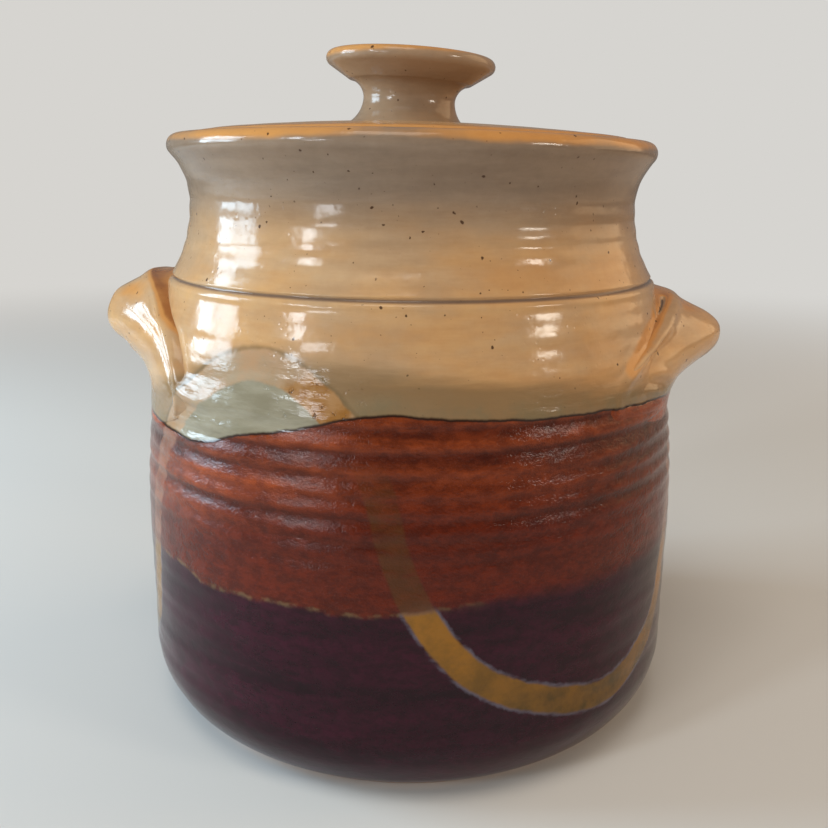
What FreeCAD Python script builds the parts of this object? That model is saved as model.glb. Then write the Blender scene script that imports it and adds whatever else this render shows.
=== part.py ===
"""Lidded stoneware bean pot: a thrown jar with two pulled lugs, and a loose inset lid with a knob.

Millimetres. Z is the turning axis, the foot ring stands on z = 0 and the lugs point along X.
"""
import FreeCAD, Part
import math
import os
import Sketcher
from FreeCAD import Placement, Rotation, Vector

# ---------------------------------------------------------------- driving sizes
SIZES = [
    # jar, outside, from the foot up
    ("belly_radius", 101.4, "widest radius of the jar, along the upright part of its wall"),
    ("foot_draw", 14.2, "how far the edge the jar stands on lies inside the belly"),
    ("belly_start", 26.0, "height where the rounded corner above the foot turns upright"),
    ("belly_rise", 49.0, "height of the upright part of the wall"),
    ("shoulder_rise", 87.2, "from there up to the line cut round the shoulder"),
    ("shoulder_draw", 12.0, "how far the wall draws in up to that line"),
    ("neck_rise", 26.5, "from the shoulder line up to the narrowest place of the neck"),
    ("neck_draw", 7.7, "how far the neck draws in from the shoulder line"),
    ("lip_rise", 18.4, "from there up to the middle of the rolled lip"),
    ("lip_flare", 6.6, "how far the lip flares out past the neck"),
    ("lip_roll", 4.0, "radius of the roll of the lip"),
    ("line_depth", 1.0, "depth of the line cut round the shoulder"),
    # jar, inside and underneath
    ("wall", 6.5, "thickness of the thrown wall"),
    ("floor_top", 9.0, "height of the inside floor"),
    ("floor_corner", 16.0, "radius between the inside floor and the wall"),
    ("foot_ring", 12.0, "width of the turned foot ring"),
    ("foot_recess", 2.6, "depth of the underside inside the foot ring"),
    ("foot_bevel", 1.2, "width of the wiped bevel round the foot"),
    ("seat_depth", 2.1, "how far the ledge for the lid lies below the middle of the lip's roll"),
    ("seat_width", 5.1, "width of that ledge"),
    # lid, heights measured up from its seat
    ("lid_gap", 0.8, "clearance round the lid inside the lip"),
    ("lid_rim", 7.2, "height of the lid's edge"),
    ("lid_rounding", 2.6, "radius of the lid's upper edge"),
    ("lid_crown", 10.9, "height of the middle of the lid"),
    ("lid_plate", 7.0, "thickness of the lid in the middle"),
    ("lid_land", 9.0, "width of the flat band that rests on the ledge"),
    # knob, from its sunk lower end up
    ("knob_sink", 3.0, "how far the knob's lower end reaches below the crown of the lid"),
    ("knob_waist", 16.7, "radius of the knob's stem"),
    ("knob_base_flare", 5.9, "how far the knob flares out where it meets the lid"),
    ("knob_base_height", 2.2, "height of that flare's lower edge"),
    ("knob_waist_rise", 9.2, "from there up to the narrowest place of the stem"),
    ("knob_throat_rise", 6.3, "from there up to where the stem's curve runs out under the disc"),
    ("knob_throat_flare", 5.6, "how far that place lies outside the stem"),
    ("knob_disc_rise", 6.7, "from there up to the disc's widest place"),
    ("knob_disc_flare", 13.9, "how far the disc reaches out past the stem"),
    ("knob_roll", 2.6, "radius of the disc's rolled edge"),
    ("knob_dip", 1.4, "depth of the hollow in the top of the knob"),
    ("knob_lean_angle", 2.3, "lean of the knob to the right, in degrees"),
    ("knob_shift", 1.8, "how far left of the axis the knob stands"),
    # lugs: each is a strap pulled from clay and arched round a hub on the wall
    ("lug_stand", 19.4, "how far a lug is pulled out past the belly"),
    ("lug_root", 3.0, "how deep a lug is pressed into the wall"),
    ("lug_thickness", 9.0, "thickness of the strap in the middle of the arch"),
    ("lug_foot_thickness", 2.3, "thickness of the strap at its pressed feet"),
    ("lug_foot_top", 72.0, "distance from the hub to the upper edge of a foot"),
    ("lug_foot_bottom", 28.0, "distance from the hub to the lower edge of a foot"),
    ("left_hub_drop", 69.2, "from the shoulder line down to the hub of the left lug"),
    ("left_top_rise", 72.0, "from that hub up to the lug's upper edge"),
    ("left_nose_rise", 46.0, "from that hub up to the lug's outermost place"),
    ("left_swing_angle", 61.0, "from the middle of the left lug to each foot, in degrees"),
    ("right_hub_drop", 55.2, "from the shoulder line down to the hub of the right lug"),
    ("right_top_rise", 51.9, "from that hub up to the lug's upper edge"),
    ("right_nose_rise", 31.5, "from that hub up to the lug's outermost place"),
    ("right_swing_angle", 68.0, "from the middle of the right lug to each foot, in degrees"),
]
size = {name: value for name, value, note in SIZES}

# places that several pieces share, as sums of sizes
FOOT_RADIUS = "belly_radius - foot_draw"
SHOULDER_RADIUS = "belly_radius - shoulder_draw"
NECK_RADIUS = SHOULDER_RADIUS + " - neck_draw"
LIP_RADIUS = NECK_RADIUS + " + lip_flare"
LIP_INSIDE = LIP_RADIUS + " - lip_roll - lip_roll"
BELLY_END = "belly_start + belly_rise"
SHOULDER = BELLY_END + " + shoulder_rise"
NECK = SHOULDER + " + neck_rise"
LIP = NECK + " + lip_rise"
SEAT = LIP + " - seat_depth"

document = FreeCAD.newDocument("bean_pot")
sheet = document.addObject("Spreadsheet::Sheet", "Sizes")
for row, (name, value, note) in enumerate(SIZES, start=1):
    sheet.set(f"A{row}", note)
    sheet.set(f"B{row}", str(value))
    sheet.setAlias(f"B{row}", name)
document.recompute()


# ---------------------------------------------------------------- sketch helpers
def length(terms):
    """The value of a sum of sizes, such as "belly_radius - wall"."""
    total = 0.0
    sign = 1
    for word in terms.split():
        if word in "+-":
            sign = 1 if word == "+" else -1
        else:
            total += sign * (size[word] if word in size else float(word))
    return total


def formula(terms):
    """The same sum as an expression that reads the sheet."""
    return " ".join("Sizes." + word if word in size else word for word in terms.split())


def origin_plane(body, role):
    """One of a body's own origin planes."""
    return next(item for item in body.Origin.OriginFeatures if item.Role == role)


def section_sketch(body, label):
    """An empty sketch on a body's own XZ plane."""
    sketch = body.newObject("Sketcher::SketchObject", label)
    sketch.AttachmentSupport = (origin_plane(body, "XZ_Plane"), [""])
    sketch.MapMode = "FlatFace"
    return sketch


def bind(sketch, constraint, terms):
    """Adds a dimension and ties it to the sheet."""
    number = sketch.addConstraint(constraint)
    name = f"size_{number}"
    sketch.renameConstraint(number, name)
    sketch.setExpression(f"Constraints.{name}", formula(terms))


def place_corner(sketch, side, point, radius, height):
    """Ties one end of a side to its radius and height."""
    for kind, terms, axis in (("DistanceX", radius, -2), ("DistanceY", height, -1)):
        if terms == "0":
            sketch.addConstraint(Sketcher.Constraint("PointOnObject", side, point, axis))
        else:
            bind(sketch, Sketcher.Constraint(kind, -1, 1, side, point, length(terms)), terms)


def half_section(body, label, outline, rules=()):
    """A closed outline in the XZ plane, drawn with the clay on its left.

    outline: a row for each side: its name, the radius and height of its first corner, and its bow.
             Radius and height are sums of sizes, or two numbers where the rules place the corner.
             The bow is how far the side stands off its chord, to the left of its way and as a share
             of the chord. 0 is straight, and an arc's is a first value that the rules settle.
    rules:   ("upright" | "level", side, "start" | "end") for the direction of an arc there,
             ("tangent", side) where a side runs smoothly into the next,
             ("round", side, terms) for a radius.
    """
    sketch = section_sketch(body, label)
    number = {row[0]: place for place, row in enumerate(outline)}
    spots = [Vector(*(length(part) if isinstance(part, str) else part for part in row[1:3]), 0)
             for row in outline]
    ends = []
    for side, (name, radius, height, bow) in enumerate(outline):
        start, end = spots[side], spots[(side + 1) % len(spots)]
        if bow == 0:
            sketch.addGeometry(Part.LineSegment(start, end), False)
        else:
            left = Vector(start.y - end.y, end.x - start.x, 0)
            sketch.addGeometry(Part.Arc(start, (start + end) / 2 + left * bow, end), False)
        # a sketch keeps its arcs anticlockwise, so one that bows to the left is kept reversed
        ends.append({"start": 2, "end": 1} if bow > 0 else {"start": 1, "end": 2})
    smooth = {number[rule[1]] for rule in rules if rule[0] == "tangent"}
    for side in range(len(outline)):
        after = (side + 1) % len(outline)
        kind = "Tangent" if side in smooth else "Coincident"
        sketch.addConstraint(
            Sketcher.Constraint(kind, side, ends[side]["end"], after, ends[after]["start"]))
    for side, (name, radius, height, bow) in enumerate(outline):
        if isinstance(radius, str):
            place_corner(sketch, side, ends[side]["start"], radius, height)
    for rule, name, detail in (rule for rule in rules if rule[0] != "tangent"):
        side = number[name]
        if rule == "round":
            bind(sketch, Sketcher.Constraint("Radius", side, length(detail)), detail)
        else:
            # an arc runs upright where its centre lies level with its end, and the other way round
            kind = "Horizontal" if rule == "upright" else "Vertical"
            sketch.addConstraint(Sketcher.Constraint(kind, side, 3, side, ends[side][detail]))
    return sketch


def turn(body, label, sketch, kind="PartDesign::Revolution"):
    """A full turn of a half section about the body's Z axis."""
    feature = body.newObject(kind, label)
    feature.Profile = sketch
    feature.ReferenceAxis = (sketch, ["V_Axis"])
    feature.Angle = 360
    return feature


def roll_foot(radius, height, roll, angle):
    """Where the round of a rolled edge begins, an angle in degrees below its widest place."""
    return (radius - roll * (1 - math.cos(math.radians(angle))),
            height - roll * math.sin(math.radians(angle)))


# ---------------------------------------------------------------- jar
LIP_ROLL_ANGLE = 38   # where the neck's curve runs into the roll of the lip


def make_jar():
    """The thrown jar: foot ring, belly, shoulder line, neck, rolled lip and the ledge for the lid."""
    body = document.addObject("PartDesign::Body", "jar")
    under_lip = roll_foot(length(LIP_RADIUS), length(LIP), size["lip_roll"], LIP_ROLL_ANGLE)
    outline = [
        ("bevel", FOOT_RADIUS + " - foot_bevel", "0", 0),
        ("corner", FOOT_RADIUS, "foot_bevel", -0.16),
        ("belly", "belly_radius", "belly_start", 0),
        ("shoulder", "belly_radius", BELLY_END, -0.034),
        ("lower_neck", SHOULDER_RADIUS, SHOULDER, 0.075),
        ("upper_neck", NECK_RADIUS, NECK, 0.083),
        ("lip", *under_lip, -0.70),
        ("lip_inside", LIP_INSIDE, LIP, 0),
        ("ledge", LIP_INSIDE, SEAT, 0),
        ("under_ledge", LIP_INSIDE + " - seat_width", SEAT, 0),
        ("neck_inside", NECK_RADIUS + " - wall", NECK, -0.075),
        ("shoulder_inside", SHOULDER_RADIUS + " - wall", SHOULDER, 0.034),
        ("belly_inside", "belly_radius - wall", BELLY_END, 0),
        ("floor_corner", "belly_radius - wall", "floor_top + floor_corner", 0.207),
        ("floor", "belly_radius - wall - floor_corner", "floor_top", 0),
        ("axis", "0", "floor_top", 0),
        ("underside", "0", "foot_recess", 0),
        ("foot_inside", FOOT_RADIUS + " - foot_ring - foot_recess", "foot_recess", 0),
        ("foot", FOOT_RADIUS + " - foot_ring", "0", 0),
    ]
    rules = [
        ("upright", "corner", "end"),
        ("upright", "shoulder", "start"),
        ("upright", "lower_neck", "end"),
        ("upright", "upper_neck", "start"),
        ("tangent", "upper_neck"),
        ("upright", "lip", "end"),
        ("round", "lip", "lip_roll"),
        ("upright", "neck_inside", "start"),
        ("upright", "shoulder_inside", "end"),
        ("upright", "floor_corner", "start"),
    ]
    turn(body, "jar_turned", half_section(body, "jar_section", outline, rules))
    document.recompute()
    turned_volume = body.Shape.Volume

    line = section_sketch(body, "shoulder_line_section")
    centre = Vector(length(SHOULDER_RADIUS), length(SHOULDER), 0)
    line.addGeometry(Part.Circle(centre, Vector(0, 0, 1), size["line_depth"]), False)
    place_corner(line, 0, 3, SHOULDER_RADIUS, SHOULDER)
    bind(line, Sketcher.Constraint("Radius", 0, size["line_depth"]), "line_depth")
    turn(body, "shoulder_line", line, "PartDesign::Groove")
    document.recompute()
    assert body.Shape.Volume < turned_volume, "the shoulder line cuts nothing"
    return body


# ---------------------------------------------------------------- lid and knob
def make_lid():
    """The inset lid, drawn on its seat plane: flat land, shallow dished underside, low crown."""
    body = document.addObject("PartDesign::Body", "lid")
    edge = LIP_INSIDE + " - lid_gap"
    outline = [
        ("underside", "0", "lid_crown - lid_plate", 0.016),
        ("land", edge + " - lid_land", "0", 0),
        ("edge", edge, "0", 0),
        ("rounding", edge, "lid_rim - lid_rounding", -0.207),
        ("top", edge + " - lid_rounding", "lid_rim", -0.014),
        ("axis", "0", "lid_crown", 0),
    ]
    rules = [
        ("level", "underside", "start"),
        ("upright", "rounding", "start"),
        ("level", "top", "end"),
    ]
    turn(body, "lid_turned", half_section(body, "lid_section", outline, rules))
    body.setExpression("Placement.Base.z", formula(SEAT))
    return body


DISC_ROLL_ANGLE = 62   # where the underside of the disc runs into its rolled edge


def make_knob(lid):
    """The knob: a waisted stem under a rolled disc, sunk into the crown and trimmed to it."""
    body = document.addObject("PartDesign::Body", "knob_blank")
    base = "knob_waist + knob_base_flare"
    disc = "knob_waist + knob_disc_flare"
    waist = "knob_base_height + knob_waist_rise"
    throat = waist + " + knob_throat_rise"
    disc_height = throat + " + knob_disc_rise"
    under_disc = roll_foot(length(disc), length(disc_height), size["knob_roll"], DISC_ROLL_ANGLE)
    outline = [
        ("bottom", "0", "0", 0),
        ("base", base, "0", 0),
        ("base_flare", base, "knob_base_height", 0.14),
        ("stem", "knob_waist", waist, 0.17),
        ("disc_underside", "knob_waist + knob_throat_flare", throat, 0),
        ("disc_edge", *under_disc, -0.39),
        ("hollow", disc + " - knob_roll", disc_height + " + knob_roll", 0.0125),
        ("axis", "0", disc_height + " + knob_roll - knob_dip", 0),
    ]
    rules = [
        ("upright", "base_flare", "end"),
        ("upright", "stem", "start"),
        ("tangent", "disc_underside"),
        ("level", "disc_edge", "end"),
        ("round", "disc_edge", "knob_roll"),
        ("level", "hollow", "end"),
    ]
    turn(body, "knob_turned", half_section(body, "knob_section", outline, rules))
    body.Placement = Placement(Vector(), Rotation(Vector(0, 1, 0), size["knob_lean_angle"]))
    body.setExpression("Placement.Base.x", "-Sizes.knob_shift")
    body.setExpression("Placement.Base.z", formula(SEAT + " + lid_crown - knob_sink"))
    body.setExpression("Placement.Rotation.Angle", formula("knob_lean_angle"))
    knob = document.addObject("Part::Cut", "lid_knob")
    knob.Base = body
    knob.Tool = lid
    return knob


# ---------------------------------------------------------------- lugs
def wall_radius(height):
    """Outside radius of the jar's upper wall, an arc from the belly up to the shoulder line."""
    rise = size["shoulder_rise"]
    draw_in = size["shoulder_draw"]
    bend = (rise ** 2 + draw_in ** 2) / (2 * draw_in)
    return size["belly_radius"] - bend + math.sqrt(bend ** 2 - (height - length(BELLY_END)) ** 2)


# one section of a strap, from the upper edge at the wall over the outside and back underneath:
# how far along the strap's width, and how far out as a share of the stand-off from the wall
STRAP_OUTSIDE = {
    "left": [(0.00, 0.50), (0.09, 0.46), (0.19, 0.62), (0.31, 0.93), (0.46, 1.00),
             (0.68, 1.04), (0.92, 1.00), (1.12, 0.62), (1.25, 0.64)],
    "right": [(0.00, 0.32), (0.09, 0.37), (0.19, 0.42), (0.31, 0.58), (0.46, 0.83),
              (0.68, 1.03), (0.92, 1.01), (1.12, 0.97), (1.25, 0.80)],
}
STRAP_UNDERSIDE = [(1.17, 0.98), (0.97, 1.00), (0.76, 0.80), (0.56, 0.35)]

# the strap's two hidden edges: how far along its width, and how many roots deep in the wall
UPPER_HIDDEN_EDGE = (-0.10, 1.5)
LOWER_HIDDEN_EDGE = (0.40, 1.5)

# past its foot the strap dives under the wall's face, by this share of the root
DIVE = 1 / 3

# stations over the arch, from mid-arch to past the foot: share of the swing, share of the full
# stand-off at the left and the right lug, and share of the strap's width
STRAP_STATIONS = [(0.00, {"left": 1.00, "right": 1.00}, 1.00),
                  (0.28, {"left": 0.64, "right": 0.88}, 1.00),
                  (0.55, {"left": 0.12, "right": 0.48}, 1.00),
                  (0.80, {"left": 0.02, "right": 0.12}, 1.00),
                  (1.00, {"left": 0.00, "right": 0.00}, 0.88),
                  (1.10, {"left": 0.00, "right": 0.00}, 0.55)]


def strap_section(hand, share, fullness, width):
    """Points round the strap at a share of the way from mid-arch (0) to a foot (1 or -1)."""
    hub = length(SHOULDER) - size[f"{hand}_hub_drop"]
    angle = math.radians(size[f"{hand}_swing_angle"] * share)
    upper = size[f"{hand}_top_rise"]
    lower = size[f"{hand}_nose_rise"]
    full = size["belly_radius"] + size["lug_stand"] - wall_radius(hub + lower)
    upper += (size["lug_foot_top"] - upper) * share ** 2
    lower += (size["lug_foot_bottom"] - lower) * share ** 2
    narrowed = (upper - lower) * (1 - width) / 2
    upper -= narrowed
    lower += narrowed
    foot = size["lug_foot_thickness"]
    root = size["lug_root"]
    stand = foot + (full - foot) * fullness if abs(share) <= 1 else -root * DIVE
    hollow = (full - size["lug_thickness"]) * fullness
    outline = [(UPPER_HIDDEN_EDGE[0], -root * UPPER_HIDDEN_EDGE[1])]
    outline += [(along, stand * out) for along, out in STRAP_OUTSIDE[hand]]
    outline += [(along, hollow * out - root * (1 - fullness)) for along, out in STRAP_UNDERSIDE]
    outline += [(LOWER_HIDDEN_EDGE[0], -root * LOWER_HIDDEN_EDGE[1])]
    points = []
    for along, out in outline:
        reach = upper - (upper - lower) * along
        y = -reach * math.sin(angle)
        z = hub + reach * math.cos(angle)
        x = math.sqrt(wall_radius(z) ** 2 - y ** 2) + out
        points.append(Vector(x if hand == "right" else -x, y, z))
    return points


DEGREE = 3   # of the lugs' spline skins


def even_knots(poles):
    """Knots and multiplicities of a clamped spline with evenly spaced spans."""
    spans = poles - DEGREE
    inner = [1] * (spans - 1)
    return list(range(spans + 1)), [DEGREE + 1, *inner, DEGREE + 1]


def make_lug(hand, jar):
    """A hand-pulled lug: a strap modelled over its arch, then trimmed to the wall it is pressed on."""
    front_half = [strap_section(hand, share, full[hand], width)
                  for share, full, width in STRAP_STATIONS]
    back_half = [strap_section(hand, -share, full[hand], width)
                 for share, full, width in STRAP_STATIONS[:0:-1]]
    net = back_half + front_half
    knots_along, repeats_along = even_knots(len(net))
    knots_round, repeats_round = even_knots(len(net[0]))
    skin = Part.BSplineSurface()
    skin.buildFromPolesMultsKnots(net, repeats_along, repeats_round, knots_along, knots_round,
                                  False, False, DEGREE, DEGREE)
    first_u, last_u, first_v, last_v = skin.bounds()
    edges = [skin.vIso(v).toShape() for v in (first_v, last_v)]
    sides = [skin.toShape(), Part.makeRuledSurface(*edges)]
    for u in (first_u, last_u):
        rim = skin.uIso(u)
        chord = Part.LineSegment(rim.EndPoint, rim.StartPoint)
        sides.append(Part.Face(Part.Wire([rim.toShape(), chord.toShape()])))
    shell = Part.makeShell(sides)
    shell.sewShape()
    blank = document.addObject("Part::Feature", f"lug_{hand}_blank")
    blank.Shape = Part.makeSolid(shell)
    lug = document.addObject("Part::Cut", f"lug_{hand}")
    lug.Base = blank
    lug.Tool = jar
    return lug


# ---------------------------------------------------------------- build and write
jar = make_jar()
lid = make_lid()
knob = make_knob(lid)
pieces = [jar, lid, knob, make_lug("left", jar), make_lug("right", jar)]
document.recompute()

for item in document.Objects:
    assert not {"Invalid", "Error"} & set(item.State), f"{item.Label} did not compute"
for item in pieces:
    assert not item.Shape.isNull() and item.Shape.isValid(), f"{item.Label} has no sound shape"
    assert len(item.Shape.Solids) == 1, f"{item.Label} is not one solid"

os.makedirs("parts", exist_ok=True)
for item in pieces:
    item.Shape.exportStep(f"parts/{item.Label}.step")
    print(f"{item.Label}: {item.Shape.Volume / 1000:.1f} cm3")
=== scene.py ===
# %% [markdown]
# # A lidded stoneware bean pot, dressed for the camera
#
# A bean pot is five lumps of clay: a thrown jar, two pulled lugs, a thrown lid and its knob. The packed
# model already holds their construction. It is loaded first, because every new piece takes its place
# from it and rides on one of its two bodies, the jar or the lid.

import math
from types import SimpleNamespace

import bmesh
import bpy
import numpy as np
from mathutils import Matrix, Vector, noise


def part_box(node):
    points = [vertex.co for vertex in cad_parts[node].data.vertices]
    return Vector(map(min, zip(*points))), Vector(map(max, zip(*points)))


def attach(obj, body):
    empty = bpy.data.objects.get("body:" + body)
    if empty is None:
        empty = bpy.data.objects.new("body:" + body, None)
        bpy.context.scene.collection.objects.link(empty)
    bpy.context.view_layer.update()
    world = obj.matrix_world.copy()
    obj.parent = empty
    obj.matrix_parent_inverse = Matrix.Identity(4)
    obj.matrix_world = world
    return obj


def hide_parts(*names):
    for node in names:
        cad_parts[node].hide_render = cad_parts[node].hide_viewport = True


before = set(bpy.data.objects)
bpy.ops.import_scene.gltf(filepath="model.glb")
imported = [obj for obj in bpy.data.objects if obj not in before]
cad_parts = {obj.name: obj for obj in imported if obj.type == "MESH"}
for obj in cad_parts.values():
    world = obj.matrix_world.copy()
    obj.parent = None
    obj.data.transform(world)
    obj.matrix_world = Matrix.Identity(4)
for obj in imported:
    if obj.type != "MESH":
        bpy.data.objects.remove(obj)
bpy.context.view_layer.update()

# %% [markdown]
# ## Millimetres on the bench, metres in the scene
#
# A potter thinks in millimetres, so each piece is modelled in them and its finished mesh is scaled to
# metres at the end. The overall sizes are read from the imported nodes, so that the new clay lies where
# the old clay lies; the rest is measured up from one place to the next, as on the wheel.

# %% Sizes of the jar
MM = 0.001
jar_low, jar_high = (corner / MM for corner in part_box("jar"))

WALL = 6.5
BELLY_RADIUS = jar_high.x
FOOT_RADIUS = BELLY_RADIUS - 14.2
FOOT_BEVEL = 1.2
BELLY_START = 26.0
BELLY_END = BELLY_START + 49.0
SHOULDER_HEIGHT = BELLY_END + 87.2
SHOULDER_RADIUS = BELLY_RADIUS - 12.0
NECK_HEIGHT = SHOULDER_HEIGHT + 26.5
NECK_RADIUS = SHOULDER_RADIUS - 7.7
LIP_ROLL = 4.0
LIP_HEIGHT = jar_high.z - LIP_ROLL
LIP_RADIUS = NECK_RADIUS + 6.6
LIP_INSIDE = LIP_RADIUS - 2 * LIP_ROLL
SEAT_HEIGHT = LIP_HEIGHT - 2.1
LEDGE_INSIDE = LIP_INSIDE - 5.1
FLOOR_TOP = 9.0
FLOOR_CORNER = 16.0
print(f"belly {BELLY_RADIUS:.1f} mm, shoulder line at {SHOULDER_HEIGHT:.1f} mm, lip at {LIP_HEIGHT:.1f} mm")

# %% [markdown]
# ## Throwing on the wheel
#
# Anything thrown is one outline turned about an axis. It could be a stack of cylinders, or a curve
# object with a bevel, but a spun outline gives clean rings of quads, and each stretch of it can say
# which finish it carries. The outline is written as corners with a *bow*: how far the side between two
# corners stands off its chord, as a share of the chord's length. A bow of 0 is a straight side, 0.207
# is a quarter of a circle, and a negative bow swells outwards. The spin operator sweeps the outline and
# merges its last ring with the first, and the two ends on the axis are merged to single poles.

# %% A pen for outlines, and the wheel
def arc_points(start, end, bow, spacing):
    """Points from start up to, but not at, end, on the arc that stands off its chord by bow."""
    start, end = Vector(start), Vector(end)
    chord = end - start
    if bow == 0:
        count = max(1, round(chord.length / spacing))
        return [start + chord * (step / count) for step in range(count)]
    left = Vector((-chord.y, chord.x)).normalized()
    rise = abs(bow) * chord.length
    radius = (chord.length ** 2 / 4 + rise ** 2) / (2 * rise)
    side = math.copysign(1, bow)
    centre = (start + end) / 2 - left * side * (radius - rise)
    sweep = 4 * math.atan2(2 * rise, chord.length)
    count = max(2, round(radius * sweep / spacing))
    arm = start - centre
    return [centre + Matrix.Rotation(-side * sweep * step / count, 2) @ arm for step in range(count)]


def throw(outline, steps):
    """Spins an outline into a closed shell. Each row is a corner's radius and height, then its side's
    bow, spacing and finish. The finish is kept on the vertices as the attributes bare and liner."""
    shell = bmesh.new()
    layers = {finish: shell.verts.layers.float.new(finish) for finish in ("bare", "liner")}
    profile = []
    for row, (radius, height, bow, spacing, finish) in enumerate(outline):
        following = outline[(row + 1) % len(outline)]
        if row + 1 < len(outline):
            points = arc_points((radius, height), following[:2], bow, spacing)
        else:
            points = [Vector((radius, height))]
        for point in points:
            vert = shell.verts.new((point.x, 0, point.y))
            if finish in layers:
                vert[layers[finish]] = 1
            profile.append(vert)
    edges = [shell.edges.new(pair) for pair in zip(profile, profile[1:])]
    bmesh.ops.spin(shell, geom=profile + edges, axis=(0, 0, 1), cent=(0, 0, 0), angle=2 * math.pi,
                   steps=steps, use_merge=True)
    bmesh.ops.remove_doubles(shell, verts=shell.verts, dist=0.001)
    bmesh.ops.recalc_face_normals(shell, faces=shell.faces)
    return shell


# %% [markdown]
# ## The jar
#
# The outline starts where the clay of the floor meets the axis underneath, runs out over the foot ring
# and up the outside, rolls over the lip, steps down on to the ledge that carries the lid, and comes
# back down the inside. The outside gets a point every millimetre, so that throwing rings can be real
# relief later; the inside and the underneath need fewer.

# %% Throw the jar
JAR_STEPS = 288
OUTSIDE = 1.0     # spacing of the outline's points where the relief is fine
CLOSE = 0.45      # closer at the line cut round the shoulder
COARSE = 5.0      # and wide where there is no relief
LINE_REACH = 2.6  # how far above and below that line the close points go
FOOT_RING = 12.0
FOOT_HOLLOW = 2.6
LIP_ROLL_ANGLE = math.radians(38)
QUARTER_BOW = 0.207
BELLY_BOW = -0.0341
SHOULDER_BOW = 0.0712
NECK_BOW = 0.0875
LIP_BOW = -0.70
shoulder = (SHOULDER_RADIUS, SHOULDER_HEIGHT)
under_line = arc_points((BELLY_RADIUS, BELLY_END), shoulder, BELLY_BOW, LINE_REACH)
over_line = arc_points(shoulder, (NECK_RADIUS, NECK_HEIGHT), SHOULDER_BOW, LINE_REACH)
under_share, over_share = 1 / len(under_line), 1 / len(over_line)

jar_outline = [
    (0, FOOT_HOLLOW, 0, 8.0, "bare"),
    (FOOT_RADIUS - FOOT_RING - FOOT_HOLLOW, FOOT_HOLLOW, 0, 1.6, "bare"),
    (FOOT_RADIUS - FOOT_RING, 0, 0, 2.6, "bare"),
    (FOOT_RADIUS - FOOT_BEVEL, 0, 0, 0.6, "bare"),
    (FOOT_RADIUS, FOOT_BEVEL, -0.133, OUTSIDE, "glaze"),
    (BELLY_RADIUS, BELLY_START, 0, OUTSIDE, "glaze"),
    (BELLY_RADIUS, BELLY_END, BELLY_BOW * (1 - under_share), OUTSIDE, "glaze"),
    (*under_line[-1], BELLY_BOW * under_share, CLOSE, "glaze"),
    (*shoulder, SHOULDER_BOW * over_share, CLOSE, "glaze"),
    (*over_line[1], SHOULDER_BOW * (1 - over_share), OUTSIDE, "glaze"),
    (NECK_RADIUS, NECK_HEIGHT, NECK_BOW, OUTSIDE, "glaze"),
    (LIP_RADIUS - LIP_ROLL * (1 - math.cos(LIP_ROLL_ANGLE)),
     LIP_HEIGHT - LIP_ROLL * math.sin(LIP_ROLL_ANGLE), LIP_BOW, 0.8, "glaze"),
    (LIP_INSIDE, LIP_HEIGHT, 0, 0.7, "bare"),
    (LIP_INSIDE, SEAT_HEIGHT, 0, 1.2, "bare"),
    (LEDGE_INSIDE, SEAT_HEIGHT, 0, COARSE, "liner"),
    (NECK_RADIUS - WALL, NECK_HEIGHT, -0.072, COARSE, "liner"),
    (SHOULDER_RADIUS - WALL, SHOULDER_HEIGHT, 0.034, COARSE, "liner"),
    (BELLY_RADIUS - WALL, BELLY_END, 0, COARSE, "liner"),
    (BELLY_RADIUS - WALL, FLOOR_TOP + FLOOR_CORNER, QUARTER_BOW, COARSE, "liner"),
    (BELLY_RADIUS - WALL - FLOOR_CORNER, FLOOR_TOP, 0, COARSE, "liner"),
    (0, FLOOR_TOP, 0, COARSE, "liner"),
]
jar_shell = throw(jar_outline, JAR_STEPS)
print("jar:", len(jar_shell.verts), "vertices")


# %% [markdown]
# ## Places on a pot
#
# Marks on a pot are easiest to place by azimuth and height: how far round, and how far up. Azimuth 0
# is the front, and it grows to the right. The helpers below read both from a whole mesh at once, and
# write changed vertices or a value per vertex back. A value kept on the vertices is what a shader
# later reads through an Attribute node.

# %% Helpers that read and write whole meshes
def coordinates(mesh):
    """All vertices as rows of x, y, z in millimetres."""
    flat = np.empty(3 * len(mesh.vertices))
    mesh.vertices.foreach_get("co", flat)
    return flat.reshape(-1, 3)


def move_to(mesh, spots):
    """Writes rows of x, y, z back to the vertices."""
    mesh.vertices.foreach_set("co", spots.ravel())


def azimuth(spots):
    """Degrees round from the front, from -180 to 180."""
    return np.degrees(np.arctan2(spots[:, 0], -spots[:, 1]))


def keep(mesh, name, values):
    """Stores one number per vertex under a name."""
    attribute = mesh.attributes.get(name) or mesh.attributes.new(name, "FLOAT", "POINT")
    attribute.data.foreach_set("value", np.asarray(values, np.float32))


def kept(mesh, name):
    """Reads back what keep stored."""
    values = np.empty(len(mesh.vertices), np.float32)
    mesh.attributes[name].data.foreach_get("value", values)
    return values


def smoothstep(low, high, values):
    """0 below low, 1 above high, and a soft S between."""
    share = np.clip((values - low) / (high - low), 0, 1)
    return share * share * (3 - 2 * share)


def unevenness(spots, fine_size, fine_share):
    """Slow random swelling with finer swelling on top, roughly from -1 to 1."""
    return np.array([noise.noise(Vector(spot) / 17) + fine_share * noise.noise(Vector(spot) / fine_size)
                     for spot in spots])


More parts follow.
